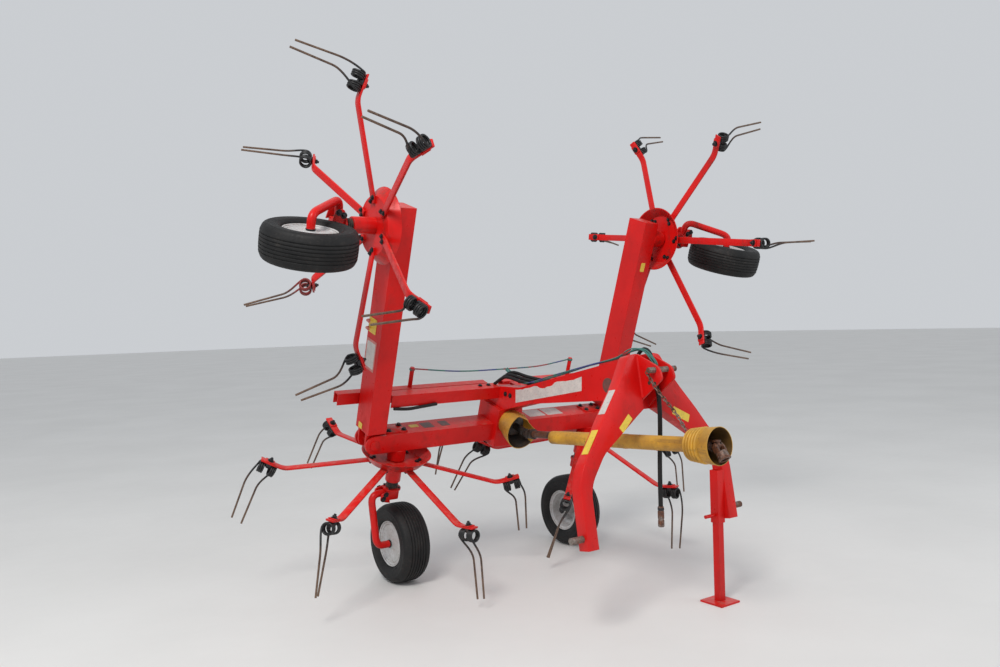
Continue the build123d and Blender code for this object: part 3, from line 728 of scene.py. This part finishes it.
def rotor_fastenings():
    for name, side, outer, first, _ in ROTORS:
        base = rotor_place(side, outer)
        piece = Piece(f"rotor_bolts_{name}", f"rotor_{name}", "rotor_paint", WORN_PAINT, BOLT)
        for index in range(ARM_COUNT):
            place = arm_spot(base, name, side, first, index)
            for r, y in ((0.106, -0.009), (0.122, 0.009)):
                piece.bolt(shifted(place, r, y, DISH_BOTTOM + 0.006), 0.014, 0.009, 1)
                piece.bolt(spun(shifted(place, r, y, -0.124), pi), 0.014, 0.008, 1, True, 0.003)
            end = shifted(coil_seat(place), 0, 0, COIL_D / 2 + COIL_GAP)
            top = shifted(end, 0, 0, ARM_BAR_THICKNESS)
            piece.add(slab(box_outline(0.046, 0.038), 0.0, 0.004, 0.0012), top, 0)
            piece.bolt(shifted(top, 0, 0, 0.004), 0.019, 0.012, 1, True, 0.007)
            under = spun(end, pi)
            piece.add(slab(box_outline(0.026, 0.030), 0.0, 0.016, 0.003), under, 1)
            piece.bolt(shifted(under, 0, 0, 0.016), 0.019, 0.009, 1)
        piece.done()


# Hubs with the wheels' bent legs

def knuckle(piece, base):
    """The clamp that holds the leg: a flange on the hub, a block, and two cheeks with their bolts."""
    top = SPACER_BOTTOM
    x, y = axes(base)[:2]
    piece.add(lathe([(0, top), (0.044, top), (0.0455, top - 0.0015), (0.0455, top - 0.0085),
                     (0.044, top - 0.010), (0, top - 0.010)], 40), base)
    piece.add(slab(box_outline(0.062, 0.064, 0.010, 3), KNUCKLE_BOTTOM, top - 0.009, 0.003), base)
    cheek = rounded([(0.020, KNUCKLE_BOTTOM - 0.012), (0.074, KNUCKLE_BOTTOM + 0.002), (0.074, top - 0.018),
                     (0.030, top - 0.004)], {1: 0.012, 2: 0.012}, 4)
    for end in (-1, 1):
        piece.add(slab(cheek, -0.004, 0.004, 0.0012), spun(shifted(base, 0, end * 0.034, 0), pi / 2))
        for out, up in ((0.060, KNUCKLE_BOTTOM + 0.014), (0.048, top - 0.020)):
            piece.bolt(plane(base @ Vector((out, end * 0.038, up)), x, y * end), 0.017, 0.010, 1, True, 0.005)
    for k in range(4):
        piece.bolt(shifted(spun(base, pi / 4 + k * pi / 2, "Z"), 0.0385, 0, top), 0.010, 0.007, 1, False)


def hubs():
    for name, side, outer, *_ in ROTORS:
        base, wheel = rotor_place(side, outer), wheel_place(side, outer)
        x, z = axes(base)[::2]
        body = ("arm_right" if side < 0 else "arm_left") if outer else "frame"
        piece = Piece(f"hub_and_leg_{name}", body, "hub_steel", WORN_PAINT, BOLT, GREASE_AND_SHADE)
        top = -0.026 if outer else -BEAM_DEPTH / 2
        neck = DISH_BOTTOM + 0.012
        piece.add(lathe([(0, top), (0.045, top), (0.045, neck + 0.002), (0.043, neck), (0.038, neck),
                         (0.038, HUB_BOTTOM + 0.004), (0.0365, HUB_BOTTOM), (0, HUB_BOTTOM)], 48), base)
        rings = [(0, HUB_BOTTOM)]
        for ring in range(4):
            at = HUB_BOTTOM - 0.009 * ring
            rings += [(0.0275, at), (0.030, at - 0.002), (0.030, at - 0.0065), (0.0275, at - 0.0085)]
        piece.add(lathe(rings + [(0, SPACER_BOTTOM)], 40), base, 2)
        knuckle(piece, base)
        middle = (SPACER_BOTTOM + KNUCKLE_BOTTOM) / 2
        at = base.inverted() @ wheel.translation
        foot = (at.x + RIM_HUB_LENGTH / 2 + AXLE_GAP, at.y, at.z)
        corners = [(0.020, 0, middle), (LEG_BULGE, 0, middle), (LEG_FOOT_BULGE, at.y, at.z), foot]
        route = rounded_path([base @ Vector(c) for c in corners], 0.050, 10)
        piece.add(tube(route, LEG_TUBE / 2, 24))
        length = RIM_HUB_LENGTH + 2 * AXLE_GAP
        piece.add(lathe([(0, -0.002), (0.0205, -0.002), (0.0205, 0.0035), (0.0125, 0.0055), (0.0125, length),
                         (0.0200, length), (0.0200, length + 0.003), (0.0150, length + 0.0055),
                         (0, length + 0.006)], 32), plane(base @ Vector(foot), z, -x), 1)
        piece.done(replaces=[f"hub_{name}"])


# Headstock

LEGS = plane((0, BEAM_Y + LEG_FOOT_Y, LEG_FOOT_Z), (1, 0, 0), (0, -LEG_UP.z, LEG_UP.y))


def up_leg(z):
    return (z - LEG_FOOT_Z) / LEG_UP.z


def headstock():
    """Two cranked legs of folded plate, the mast's side plates and the web between them."""
    piece = Piece("cranked_headstock", "frame", "frame_paint", PAINT, BOLT, GREASE_AND_SHADE)
    bends = {1: 0.085, 2: 0.050, 3: 0.030, 4: 0.060, 5: 0.012, 6: 0.006, 9: 0.015, 10: 0.030, 11: 0.030}
    inner_turn = {-1: 0.055, 1: 0.005}  # the raised stand passes close below the left leg's inner turn
    plate = rounded([(up_leg(z), ahead) for z, ahead in MAST_OUTLINE], {2: 0.018, 3: 0.020, 4: 0.014})
    for side in (-1, 1):
        leg = [(side * x, up_leg(z)) for x, z in LEG_OUTER + LEG_INNER]
        leg = rounded(leg, {**bends, 12: inner_turn[side]}, 8)
        piece.add(slab(leg, -LEG_DEPTH, 0, 0.0035, 3), LEGS)
        cheek = plane(LEGS @ Vector((side * (MAST_GAP + MAST_PLATE) / 2, 0, 0)), LEG_UP, (1, 0, 0))
        piece.add(slab(plate, -MAST_PLATE / 2, MAST_PLATE / 2, 0.002), cheek)
        # Two black discs on each cheek stand for holes through the plate: painted shade.
        for z, ahead in ((1.012, 0.052), (1.006, 0.084)):
            hole = shifted(cheek, up_leg(z), ahead, side * (MAST_PLATE / 2 - 0.0004))
            piece.add(lathe([(0, 0), (0.0085, 0), (0.0085, side * 0.0009), (0, side * 0.0009)], 20), hole, 2)
        weld = [LEGS @ Vector((side * (MAST_GAP / 2 + MAST_PLATE), up_leg(z), 0.001))
                for z in (0.955, 1.0, 1.06, 1.13)]
        piece.add(tube(weld, 0.004, 8))
    low, high = up_leg(MAST_OUTLINE[0][0]), up_leg(MAST_OUTLINE[-1][0])
    web = [(-WEB_HALF, low), (WEB_HALF, low), (WEB_HALF, high), (-WEB_HALF, high)]
    piece.add(slab(web, -LEG_DEPTH, -LEG_DEPTH + WEB, 0.002), LEGS)
    piece.done(replaces=["headstock"])


# Blank labels, a painted highlight, bolts and lines on the frame and arms

def label(piece, place, width, height, material, corner=0.006):
    """A blank stuck label, flat on the surface that the place faces away from. It also lays the headstock's
    strip of painted highlight.
    """
    edge = min(corner, width / 3, height / 3)
    piece.add(slab(box_outline(width, height, edge), -0.0004, 0.0009, 0.0003, 1), place, material)


def strip_place(a, b, outward):
    """The place midway from a to b, x from a to b, facing outward, and how far b is from a."""
    a, b = Vector(a), Vector(b)
    run = (b - a).normalized()
    face = (Vector(outward) - run * run.dot(Vector(outward))).normalized()
    return plane((a + b) / 2, run, face), (b - a).length


def headstock_labels_and_highlight():
    piece = Piece("labels_and_painted_highlight_headstock", "frame", "frame_paint", PALE_FILM_AND_HIGHLIGHT, YELLOW_FILM)
    edge = {z: Vector((-x, up_leg(z), -LEG_DEPTH / 2)) for x, z in
            ((0.3826, 0.755), (0.3098, 0.845), (0.2633, 0.906), (0.1850, 1.000))}
    # On the near leg's outboard face the yellow strip is a label; the pale strip above it is a painted
    # highlight.
    for low, high, material in ((0.755, 0.845, 1), (0.906, 1.000, 0)):
        a, b = LEGS @ edge[low], LEGS @ edge[high]
        place, length = strip_place(a, b, LEGS.to_3x3() @ Vector((-1, -0.8, 0)))
        label(piece, shifted(place, 0, 0, 0.0006), length, 0.040, material, 0.003)
    for a, b, width in (((-0.192, 0.452, 0), (-0.129, 0.506, 0), 0.030),
                        ((0.130, 0.512, 0), (0.224, 0.466, 0), 0.036)):
        place, length = strip_place(LEGS @ Vector(a), LEGS @ Vector(b), axes(LEGS)[2])
        label(piece, place, length, width, 1, 0.004)
    piece.done()


def drawbar_spot(y, z):
    """A place on the drawbar's near side, facing out of it."""
    return plane((-DRAWBAR_SIDE, y, z), (0, 1, 0), (-1, 0, 0))


def drawbar_label():
    """Blank labels: the drawbar's long one with its torn upper edge, its round one, and the beam's."""
    piece = Piece("blank_label_drawbar", "frame", "frame_paint", PALE_FILM_AND_HIGHLIGHT, DULL_FILM, YELLOW_FILM)
    rng = random.Random(11)
    start, end, tears = (-0.386, 1.034), (0.126, 0.951), 26
    outline = [(0.128, 0.884), (-0.382, 0.968), start]
    for k in range(1, tears):
        t = k / tears
        dip = 0.010 * abs(sin(9 * t)) * rng.uniform(0.3, 1.0) + (0.012 if 0.42 < t < 0.62 else 0)
        outline.append((start[0] + (end[0] - start[0]) * t, start[1] + (end[1] - start[1]) * t - dip))
    outline.append(end)
    piece.add(slab(outline, -0.0010, 0.0004, 0.0, 1), plane((-DRAWBAR_SIDE, 0, 0), (0, 1, 0), (1, 0, 0)))
    piece.add(lathe([(0, 0), (0.034, 0), (0.034, 0.0010), (0, 0.0012)], 36), drawbar_spot(-0.560, 1.000), 1)
    for x, y, length, width, material in ((0.245, 0.012, 0.110, 0.085, 0), (0.370, 0.012, 0.110, 0.085, 0),
                                          (-0.445, 0.006, 0.062, 0.060, 1), (-0.345, 0.006, 0.052, 0.056, 1),
                                          (-0.520, 0.012, 0.050, 0.030, 2)):
        label(piece, shifted(FRAME, x, y, BEAM_DEPTH / 2), length, width, material)
    piece.done()


def arm_labels():
    """Blank labels under the arms, which face inward when folded, and two small hooks beside them."""
    slope = atan2(ARM_RISE, ARM_END - HINGE_LUG)
    labels = ((0.580, -0.024, 0.072, 0.074, 0), (0.440, -0.012, 0.148, 0.098, 2),
              (0.440, -0.012, 0.124, 0.080, 1), (0.078, -0.020, 0.030, 0.036, 0))
    for side, body in ((-1, "arm_right"), (1, "arm_left")):
        piece = Piece(f"blank_labels_{body}", body, "frame_paint", YELLOW_FILM, PALE_FILM_AND_HIGHLIGHT, PINK_FILM)
        base = arm_place(side)
        along, across, up = axes(base)
        for x, y, length, width, material in labels:
            z = ARM_BOTTOM + ARM_RISE * (x - HINGE_LUG) / (ARM_END - HINGE_LUG)
            lift = 0.0004 if material == 2 else 0.0010
            place = shifted(spun(base, pi), x, side * y, lift - z)
            label(piece, spun(place, slope, "Y"), length, width, material)
        if side > 0:
            front = base @ Vector((0.905, -side * ARM_WIDTH / 2, 0.020))
            label(piece, plane(front, along, -across * side), 0.050, 0.030, 0)
        for x in (0.562, 0.598):
            hook = plane(base @ Vector((x, side * 0.055, ARM_BOTTOM + 0.012)), along, -up)
            bend = ((0, 0, 0), (0, -side * 0.004, 0.020), (0, side * 0.028, 0.022))
            piece.add(tube(rounded_path([hook @ Vector(p) for p in bend], 0.012, 5), 0.0058, 10), None, 2)
        piece.done()


def frame_bolts():
    """Bolted plates near the hinges, bracket bolts, and two bolts in the drawbar's side."""
    piece = Piece("frame_bolts", "frame", "dark_steel", BOLT, WORN_PAINT, STEEL)
    for side in (-1, 1):
        top = shifted(FRAME, side * 0.640, 0, BEAM_DEPTH / 2)
        piece.add(slab(box_outline(0.120, 0.090, 0.010), 0, 0.006, 0.0015), top, 1)
        for x in (-0.042, 0.042):
            for y in (-0.028, 0.028):
                piece.bolt(shifted(top, x, y, 0.006), 0.017, 0.011)
        for x in (0.104, 0.156):
            piece.bolt(shifted(FRAME, side * x, 0.004, 0.240), 0.015, 0.008)
    for y, z in ((0.215, 0.925), (0.175, 0.918)):
        piece.bolt(drawbar_spot(y, z), 0.015, 0.008)
    piece.done()


HOSE_ROUTE = [Vector(p) for p in ((0.014, -0.775, 1.040), (0.014, -0.792, 1.005), (0.015, -0.802, 0.965),
                                  (0.024, -0.797, 0.910), (0.038, -0.784, 0.850), (0.050, -0.770, 0.770),
                                  (0.055, -0.760, 0.690), (0.056, -0.757, 0.580), (0.056, -0.757, 0.463))]


def lines():
    """Control ropes drawn from the release posts over the mast, and the hoses along the frame."""
    middle = Vector((0.0, 0.285, 1.050))
    runs = Piece("control_ropes", "frame", "dark_steel", ROPE)
    for side in (-1, 1):
        end = FRAME @ Vector((side * 0.518, 0.103, 0.318))
        sag = (end + middle) / 2 + Vector((0, 0, -0.012))
        runs.add(tube(curve_points([end, sag, middle]), 0.0035, 8))
        knot = plane(end, (1, 0, 0), FRAME_Z)
        runs.add(lathe([(0.0112, -0.010), (0.0145, -0.006), (0.0145, 0.0), (0.0112, 0.004)], 16, True), knot)
    top = [(0.0, 0.285, 1.050), (-0.018, 0.10, 0.982), (-0.026, -0.15, 1.025), (-0.036, -0.42, 1.082),
           (-0.034, -0.60, 1.122), (-0.024, -0.690, 1.156), (-0.010, -0.745, 1.152), (0.002, -0.790, 1.112),
           (0.006, -0.800, 1.082)]
    for k, (dx, dz, radius) in enumerate(((0, 0, 0.0035), (0.011, 0.002, 0.0040), (-0.009, 0.004, 0.0030))):
        points = [Vector((x + dx + 0.004 * sin(3 * i + k), y, z + dz + 0.003 * cos(2 * i + k)))
                  for i, (x, y, z) in enumerate(top)]
        runs.add(tube(curve_points(points), radius, 8))
    runs.done()
    hoses = Piece("frame_hoses", "frame", "dark_steel", HOSE, BOLT)
    for k in range(3):
        lift, aside = 0.011 * k, -0.030 + 0.022 * k
        route = [(aside - 0.03, 0.300, 0.975 + lift), (aside - 0.02, 0.215, 1.012 + lift),
                 (aside, 0.110, 0.992 + lift), (aside + 0.012, -0.020, 0.976 + lift),
                 (aside + 0.02, -0.130, 0.982 + lift)]
        hoses.add(tube(curve_points(route), 0.0085, 12))
    fitting = shifted(plane(HOSE_ROUTE[0], (1, 0, 0), HOSE_ROUTE[1] - HOSE_ROUTE[0]), 0, 0, -0.050)
    hoses.add(lathe([(0, 0), (0.014, 0), (0.016, 0.003), (0.016, 0.022), (0.013, 0.024), (0.013, 0.048),
                     (0.0112, 0.050), (0, 0.050)], 24), fitting, 1)
    loop = [(0.018, -0.770, 1.100), (0.030, -0.740, 1.146), (0.036, -0.700, 1.160), (0.030, -0.672, 1.135),
            (0.020, -0.668, 1.090), (0.010, -0.672, 1.060)]
    hoses.add(tube(curve_points(loop), 0.0085, 12))
    under = ((-0.680, -0.044, 0.176), (-0.600, -0.046, 0.170), (-0.520, -0.046, 0.176),
             (-0.440, -0.044, 0.182))
    hoses.add(tube(curve_points([FRAME @ Vector(p) for p in under]), 0.008, 12))
    hoses.done()


def hanging_hose():
    """The hydraulic hose that hangs from the mast beside the guard tube, with its coupler."""
    data = bpy.data.curves.new("hanging_hose", "CURVE")
    data.dimensions, data.bevel_depth, data.bevel_resolution, data.resolution_u = "3D", 0.010, 5, 10
    line = data.splines.new("NURBS")
    line.points.add(len(HOSE_ROUTE) - 1)
    for point, place in zip(line.points, HOSE_ROUTE):
        point.co = (*place, 1)
    line.order_u, line.use_endpoint_u = 3, True
    data.materials.append(HOSE)
    hose = new_object("hanging_hose", data)
    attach(hose, "frame")
    coupler = Piece("hose_coupler", "frame", "dark_steel", SHAFT_STEEL, BOLT)
    end = plane(HOSE_ROUTE[-1] + Vector((0, 0, 0.012)), (1, 0, 0), (0, 0, -1))
    coupler.add(lathe([(0.0100, 0), (0.0125, 0.002), (0.0125, 0.020), (0.0140, 0.022), (0.0140, 0.052),
                       (0.0128, 0.055), (0.0128, 0.060), (0.0140, 0.062), (0.0140, 0.086), (0.0120, 0.090),
                       (0.0070, 0.090), (0.0070, 0.070), (0, 0.070)], 24), end)
    coupler.add(slab(hexagon(0.0150), 0.006, 0.018, 0.001, 1), end, 1)
    coupler.done()


def link(length, wire):
    """One oval chain link in its own x and y."""
    r = 0.006
    points = []
    for middle, start in ((length / 2 - r, -90), (r - length / 2, 90)):
        points += [(middle + r * cos(a), r * sin(a), 0) for a in (radians(start + 30 * k) for k in range(7))]
    return tube([*points, points[0]], wire / 2, 6, False)


def chain():
    """The chain that keeps the front guard from turning, from the top pin to the guard's collar."""
    piece = Piece("guard_chain", "frame", "dark_steel", STEEL)
    route = [Vector(p) for p in ((-0.068, -0.820, 1.062), (-0.066, -0.858, 1.010), (-0.056, -0.905, 0.955),
                                 (-0.042, -0.955, 0.895), (-0.030, -0.985, 0.840))]
    dense = curve_points(route, 24)
    pitch, walked, placed, k = 0.0165, 0.0, 0.0, 0
    for a, b in zip(dense, dense[1:]):
        walked += (b - a).length
        if walked >= placed:
            run = (b - a).normalized()
            side = run.cross(Vector((1, 0.3, 0))).normalized()
            face = side if k % 2 else run.cross(side)
            piece.add(link(0.024, 0.0042), plane(a, run, face))
            placed += pitch
            k += 1
    piece.done(60)


# Drive guards and shaft

DRIVE = plane(DRIVE_START, (1, 0, 0), DRIVE_END - DRIVE_START)
DRIVE_LENGTH = (DRIVE_END - DRIVE_START).length
EAR_UPRIGHT = Matrix(((0, 0, 1, 0), (1, 0, 0, 0), (0, 1, 0, 0), (0, 0, 0, 1)))


def front_guard():
    """The tube and the bellows cone over the drive shaft, open in front. The cone's inner wall is painted
    shade in a dark ochre.
    """
    piece = Piece("drive_guard_shell", "frame", "guard_plastic", GUARD, GUARD_INSIDE)
    start, cone, segments = GUARD_START, DRIVE_LENGTH - CONE_LENGTH, 72
    hung = plane(DRIVE_START - GUARD_SAG, (1, 0, 0), DRIVE_END - DRIVE_START + GUARD_SAG)
    tube_shell = [(0.0283, start), (0.032, start), (0.032, start + 0.50), (0.0335, start + 0.503),
                  (0.0335, start + 0.52), (0.032, start + 0.523), (0.032, cone - 0.006),
                  (0.0335, cone - 0.002)]
    outside = [(0.041, cone), (0.0520, cone + 0.002), (0.0590, cone + 0.008)]
    for rib in range(5):
        at, r = cone + 0.010 + 0.0165 * rib, 0.0615 + 0.0020 * rib
        outside += [(r - 0.001, at), (r + 0.0050, at + 0.0020), (r + 0.0066, at + 0.0055),
                    (r + 0.0050, at + 0.0095), (r - 0.0006, at + 0.0125)]
    outside += [(0.0700, cone + 0.094), (0.0735, cone + 0.100), (0.0755, cone + 0.118),
                (0.0765, cone + 0.142), (0.0778, cone + 0.149), (0.0768, cone + 0.151)]
    inside = [(0.0748, cone + 0.1505), (0.0735, cone + 0.140), (0.0715, cone + 0.118), (0.0660, cone + 0.092),
              (0.0560, cone + 0.016), (0.0430, cone + 0.008), (0.0283, cone + 0.006)]
    piece.add(lathe(tube_shell + outside + inside, segments, True), hung)
    # Faces from here on are the inner wall, which takes the dark ochre as painted shade.
    darkened = len(tube_shell + outside) * segments
    piece.marks = [1 if i >= darkened else 0 for i in range(len(piece.faces))]
    piece.done(replaces=["drive_guard"])


def rear_guard():
    """The cone on the gearbox's neck, cut open on top; its inner wall is black where it turns from the light,
    as painted shade.
    """
    piece = Piece("gearbox_guard_shell", "frame", "guard_plastic", GUARD, GREASE_AND_SHADE)
    place = plane(FRAME @ Vector((0, -0.090, 0.063)), FRAME_X, FRAME_Y * -1)
    rng = random.Random(5)
    segments, levels = 72, [(0.066, 0.0), (0.0695, 0.02), (0.075, 0.032), (0.084, 0.060), (0.091, 0.090),
                            (0.0965, 0.116), (0.098, 0.126)]
    verts, faces, marks = [], [], []
    for wall in (0.0, 0.004):
        for level, (r, z) in enumerate(levels):
            for i in range(segments):
                angle = 2 * pi * i / segments
                cut = max(0.0, cos(angle - radians(38)) - 0.74) / 0.26
                flap = max(0.0, cos(angle - radians(80)) - 0.80) / 0.20
                reach = z * (1 - 0.62 * cut ** 0.5) - (rng.uniform(0, 0.004) if level > 4 and cut > 0 else 0)
                scale = r - 0.032 * 0.62 * cut ** 0.5 * z / 0.126 - wall
                scale -= 0.030 * flap * (z / 0.126) ** 2
                reach += 0.020 * flap * (z / 0.126) ** 2
                verts.append(Vector((scale * cos(angle), scale * sin(angle), max(reach, wall * 0.5))))
    count = len(levels)
    for wall in (0, 1):
        for level in range(count - 1):
            for i in range(segments):
                j, a = (i + 1) % segments, (wall * count + level) * segments
                faces.append([a + i, a + j, a + segments + j, a + segments + i])
                # Inner-wall faces turned away from the light take the black material: painted shade.
                lit = cos(2 * pi * (i + 0.5) / segments - radians(10)) > 0.55
                marks.append(1 if wall and not lit else 0)
    for i in range(segments):
        j, a, b = (i + 1) % segments, (count - 1) * segments, (2 * count - 1) * segments
        faces.append([a + i, a + j, b + j, b + i])
        faces.append([i, j, count * segments + j, count * segments + i])
        marks += [0, 0]
    piece.add((verts, faces), place)
    piece.marks = marks
    neck = plane(FRAME @ Vector((0, -0.142, 0.063)), FRAME_X, FRAME_Y * -1)
    piece.add(lathe([(0, -0.050), (0.0545, -0.050), (0.0545, 0.0012), (0.0530, 0.0020), (0.0310, 0.0024),
                     (0.0300, 0.0080), (0.0195, 0.0085), (0.0195, 0.0782), (0, 0.0782)], 40), neck, 1)
    piece.done(replaces=["gearbox_guard"])


def yoke(piece, place, bore, reach=0.062, back=0.028):
    """A universal joint's yoke: two ears on a round shank, seen from the joint's middle along z."""
    piece.add(lathe([(bore, reach), (0.0262, reach), (0.0268, reach - 0.001), (0.0268, reach - 0.007),
                     (0.0245, reach - 0.009), (0.0238, back), (0.021, back - 0.003), (bore, back - 0.003)],
                    40, True), place)
    outline = [(-0.015, back), (-0.015, 0.004), (-0.010, -0.011), (0.010, -0.011), (0.015, 0.004),
               (0.015, back)]
    for turn in (0, pi):
        piece.add(slab(outline, 0.0150, 0.0240, 0.0025), spun(place, turn, "Z") @ EAR_UPRIGHT)


def cross(piece, place):
    for axis in ("X", "Y"):
        piece.add(lathe([(0, -0.0248), (0.0080, -0.0248), (0.0090, -0.0236), (0.0090, 0.0236),
                         (0.0080, 0.0248), (0, 0.0248)], 24), spun(place, pi / 2, axis))
    piece.add(lathe([(0, -0.012), (0.011, -0.009), (0.0135, 0), (0.011, 0.009), (0, 0.012)], 24), place)


def shaft():
    """The shaft in its guard, with a joint at each end. Its front yoke hangs from the front joint."""
    piece = Piece("drive_shaft_parts", "drive_shaft", "shaft_steel", SHAFT_STEEL, GREASE_AND_SHADE)
    joint, segments = DRIVE_LENGTH - JOINT_SETBACK, 32
    bar = [(0, 0.040), (0.018, 0.040), (0.018, joint - 0.036), (0, joint - 0.036)]
    piece.add(lathe(bar, segments), DRIVE)
    yoke(piece, DRIVE, 0.0178)
    cross(piece, DRIVE)
    bar_faces = (len(bar) - 1) * segments
    piece.marks = [1 if i >= bar_faces else 0 for i in range(len(piece.faces))]
    far = shifted(DRIVE, 0, 0, joint)
    yoke(piece, spun(spun(far, pi), pi / 2, "Z"), 0.0178)
    cross(piece, far)
    yoke(piece, spun(far, YOKE_DROOP), 0.0176)
    piece.done(replaces=["drive_shaft"])


# Light, floor and camera

def camera():
    """The photograph's own view, solved from the solids' points in it."""
    yaw, pitch, roll = radians(35.92695), radians(0.65224), radians(-1.68596)
    ahead = Vector((sin(yaw) * cos(pitch), cos(yaw) * cos(pitch), -sin(pitch)))
    level = Vector((cos(yaw), -sin(yaw), 0))
    above = level.cross(ahead)
    right = level * cos(roll) + above * sin(roll)
    data = bpy.data.cameras.new("view")
    data.sensor_width, data.lens, data.clip_start, data.clip_end = 36, 866.01 * 36 / 1000, 0.05, 200
    eye = new_object("view", data)
    eye.matrix_world = plane((-2.70081, -3.40646, 1.29006), right, -ahead)
    bpy.context.scene.camera = eye


def lamp(name, place, aim, size, power, colour=(1, 1, 1)):
    data = bpy.data.lights.new(name, "AREA")
    data.shape, data.size, data.energy, data.color = "DISK", size, power, colour
    back = Vector(place) - Vector(aim)
    new_object(name, data).matrix_world = plane(place, back.orthogonal(), back)


def studio():
    bm = bmesh.new()
    bmesh.ops.create_grid(bm, x_segments=8, y_segments=8, size=60)
    mesh = bpy.data.meshes.new("floor")
    bm.to_mesh(mesh)
    bm.free()
    floor = new_object("floor", mesh)
    mesh.materials.append(pale_floor("pale_floor"))
    world = bpy.data.worlds.new("soft_room")
    bpy.context.scene.world = world
    world.use_nodes = True
    sky = world.node_tree.nodes["Background"].inputs
    sky[0].default_value, sky[1].default_value = (0.90, 0.93, 0.97, 1), 0.66
    lamp("key", (-5.0, -3.5, 6.5), (0, 0, 0.8), 2.6, 400, (1, 0.975, 0.94))
    lamp("fill", (4.5, -5.5, 4.0), (0, 0, 1.0), 4.0, 70, (0.95, 0.97, 1))
    bpy.context.scene.view_settings.view_transform = "Standard"


def finishes():
    """Materials for the solids that are carried over, and rounded edges for the big boxes."""
    dress(PAINT, "cross_beam", "gearbox", "drawbar", "stand_sleeve", "parking_stand", "rear_rails",
          "fold_channels")
    dress(ARM_PAINT, "outer_arm_right", "outer_arm_left")
    dress(WORN_PAINT, "hinge_pins", "stand_lock_pin")
    dress(STEEL, "top_link_pin", "lower_link_pins")
    for name, *_ in ROTORS:
        dress(WORN_PAINT, f"dish_{name}")
    for name in ("cross_beam", "outer_arm_right", "outer_arm_left", "drawbar", "gearbox"):
        soften = nodes[name].modifiers.new("rounded_edges", "BEVEL")
        soften.width, soften.segments, soften.limit_method = 0.006, 3, "ANGLE"
        soften.angle_limit, soften.use_clamp_overlap, soften.harden_normals = radians(50), True, False


camera()
hanging_hose()
finishes()
wheels()
tine_arms()
tines()
rotor_fastenings()
hubs()
headstock()
headstock_labels_and_highlight()
drawbar_label()
arm_labels()
frame_bolts()
lines()
chain()
front_guard()
rear_guard()
shaft()
studio()
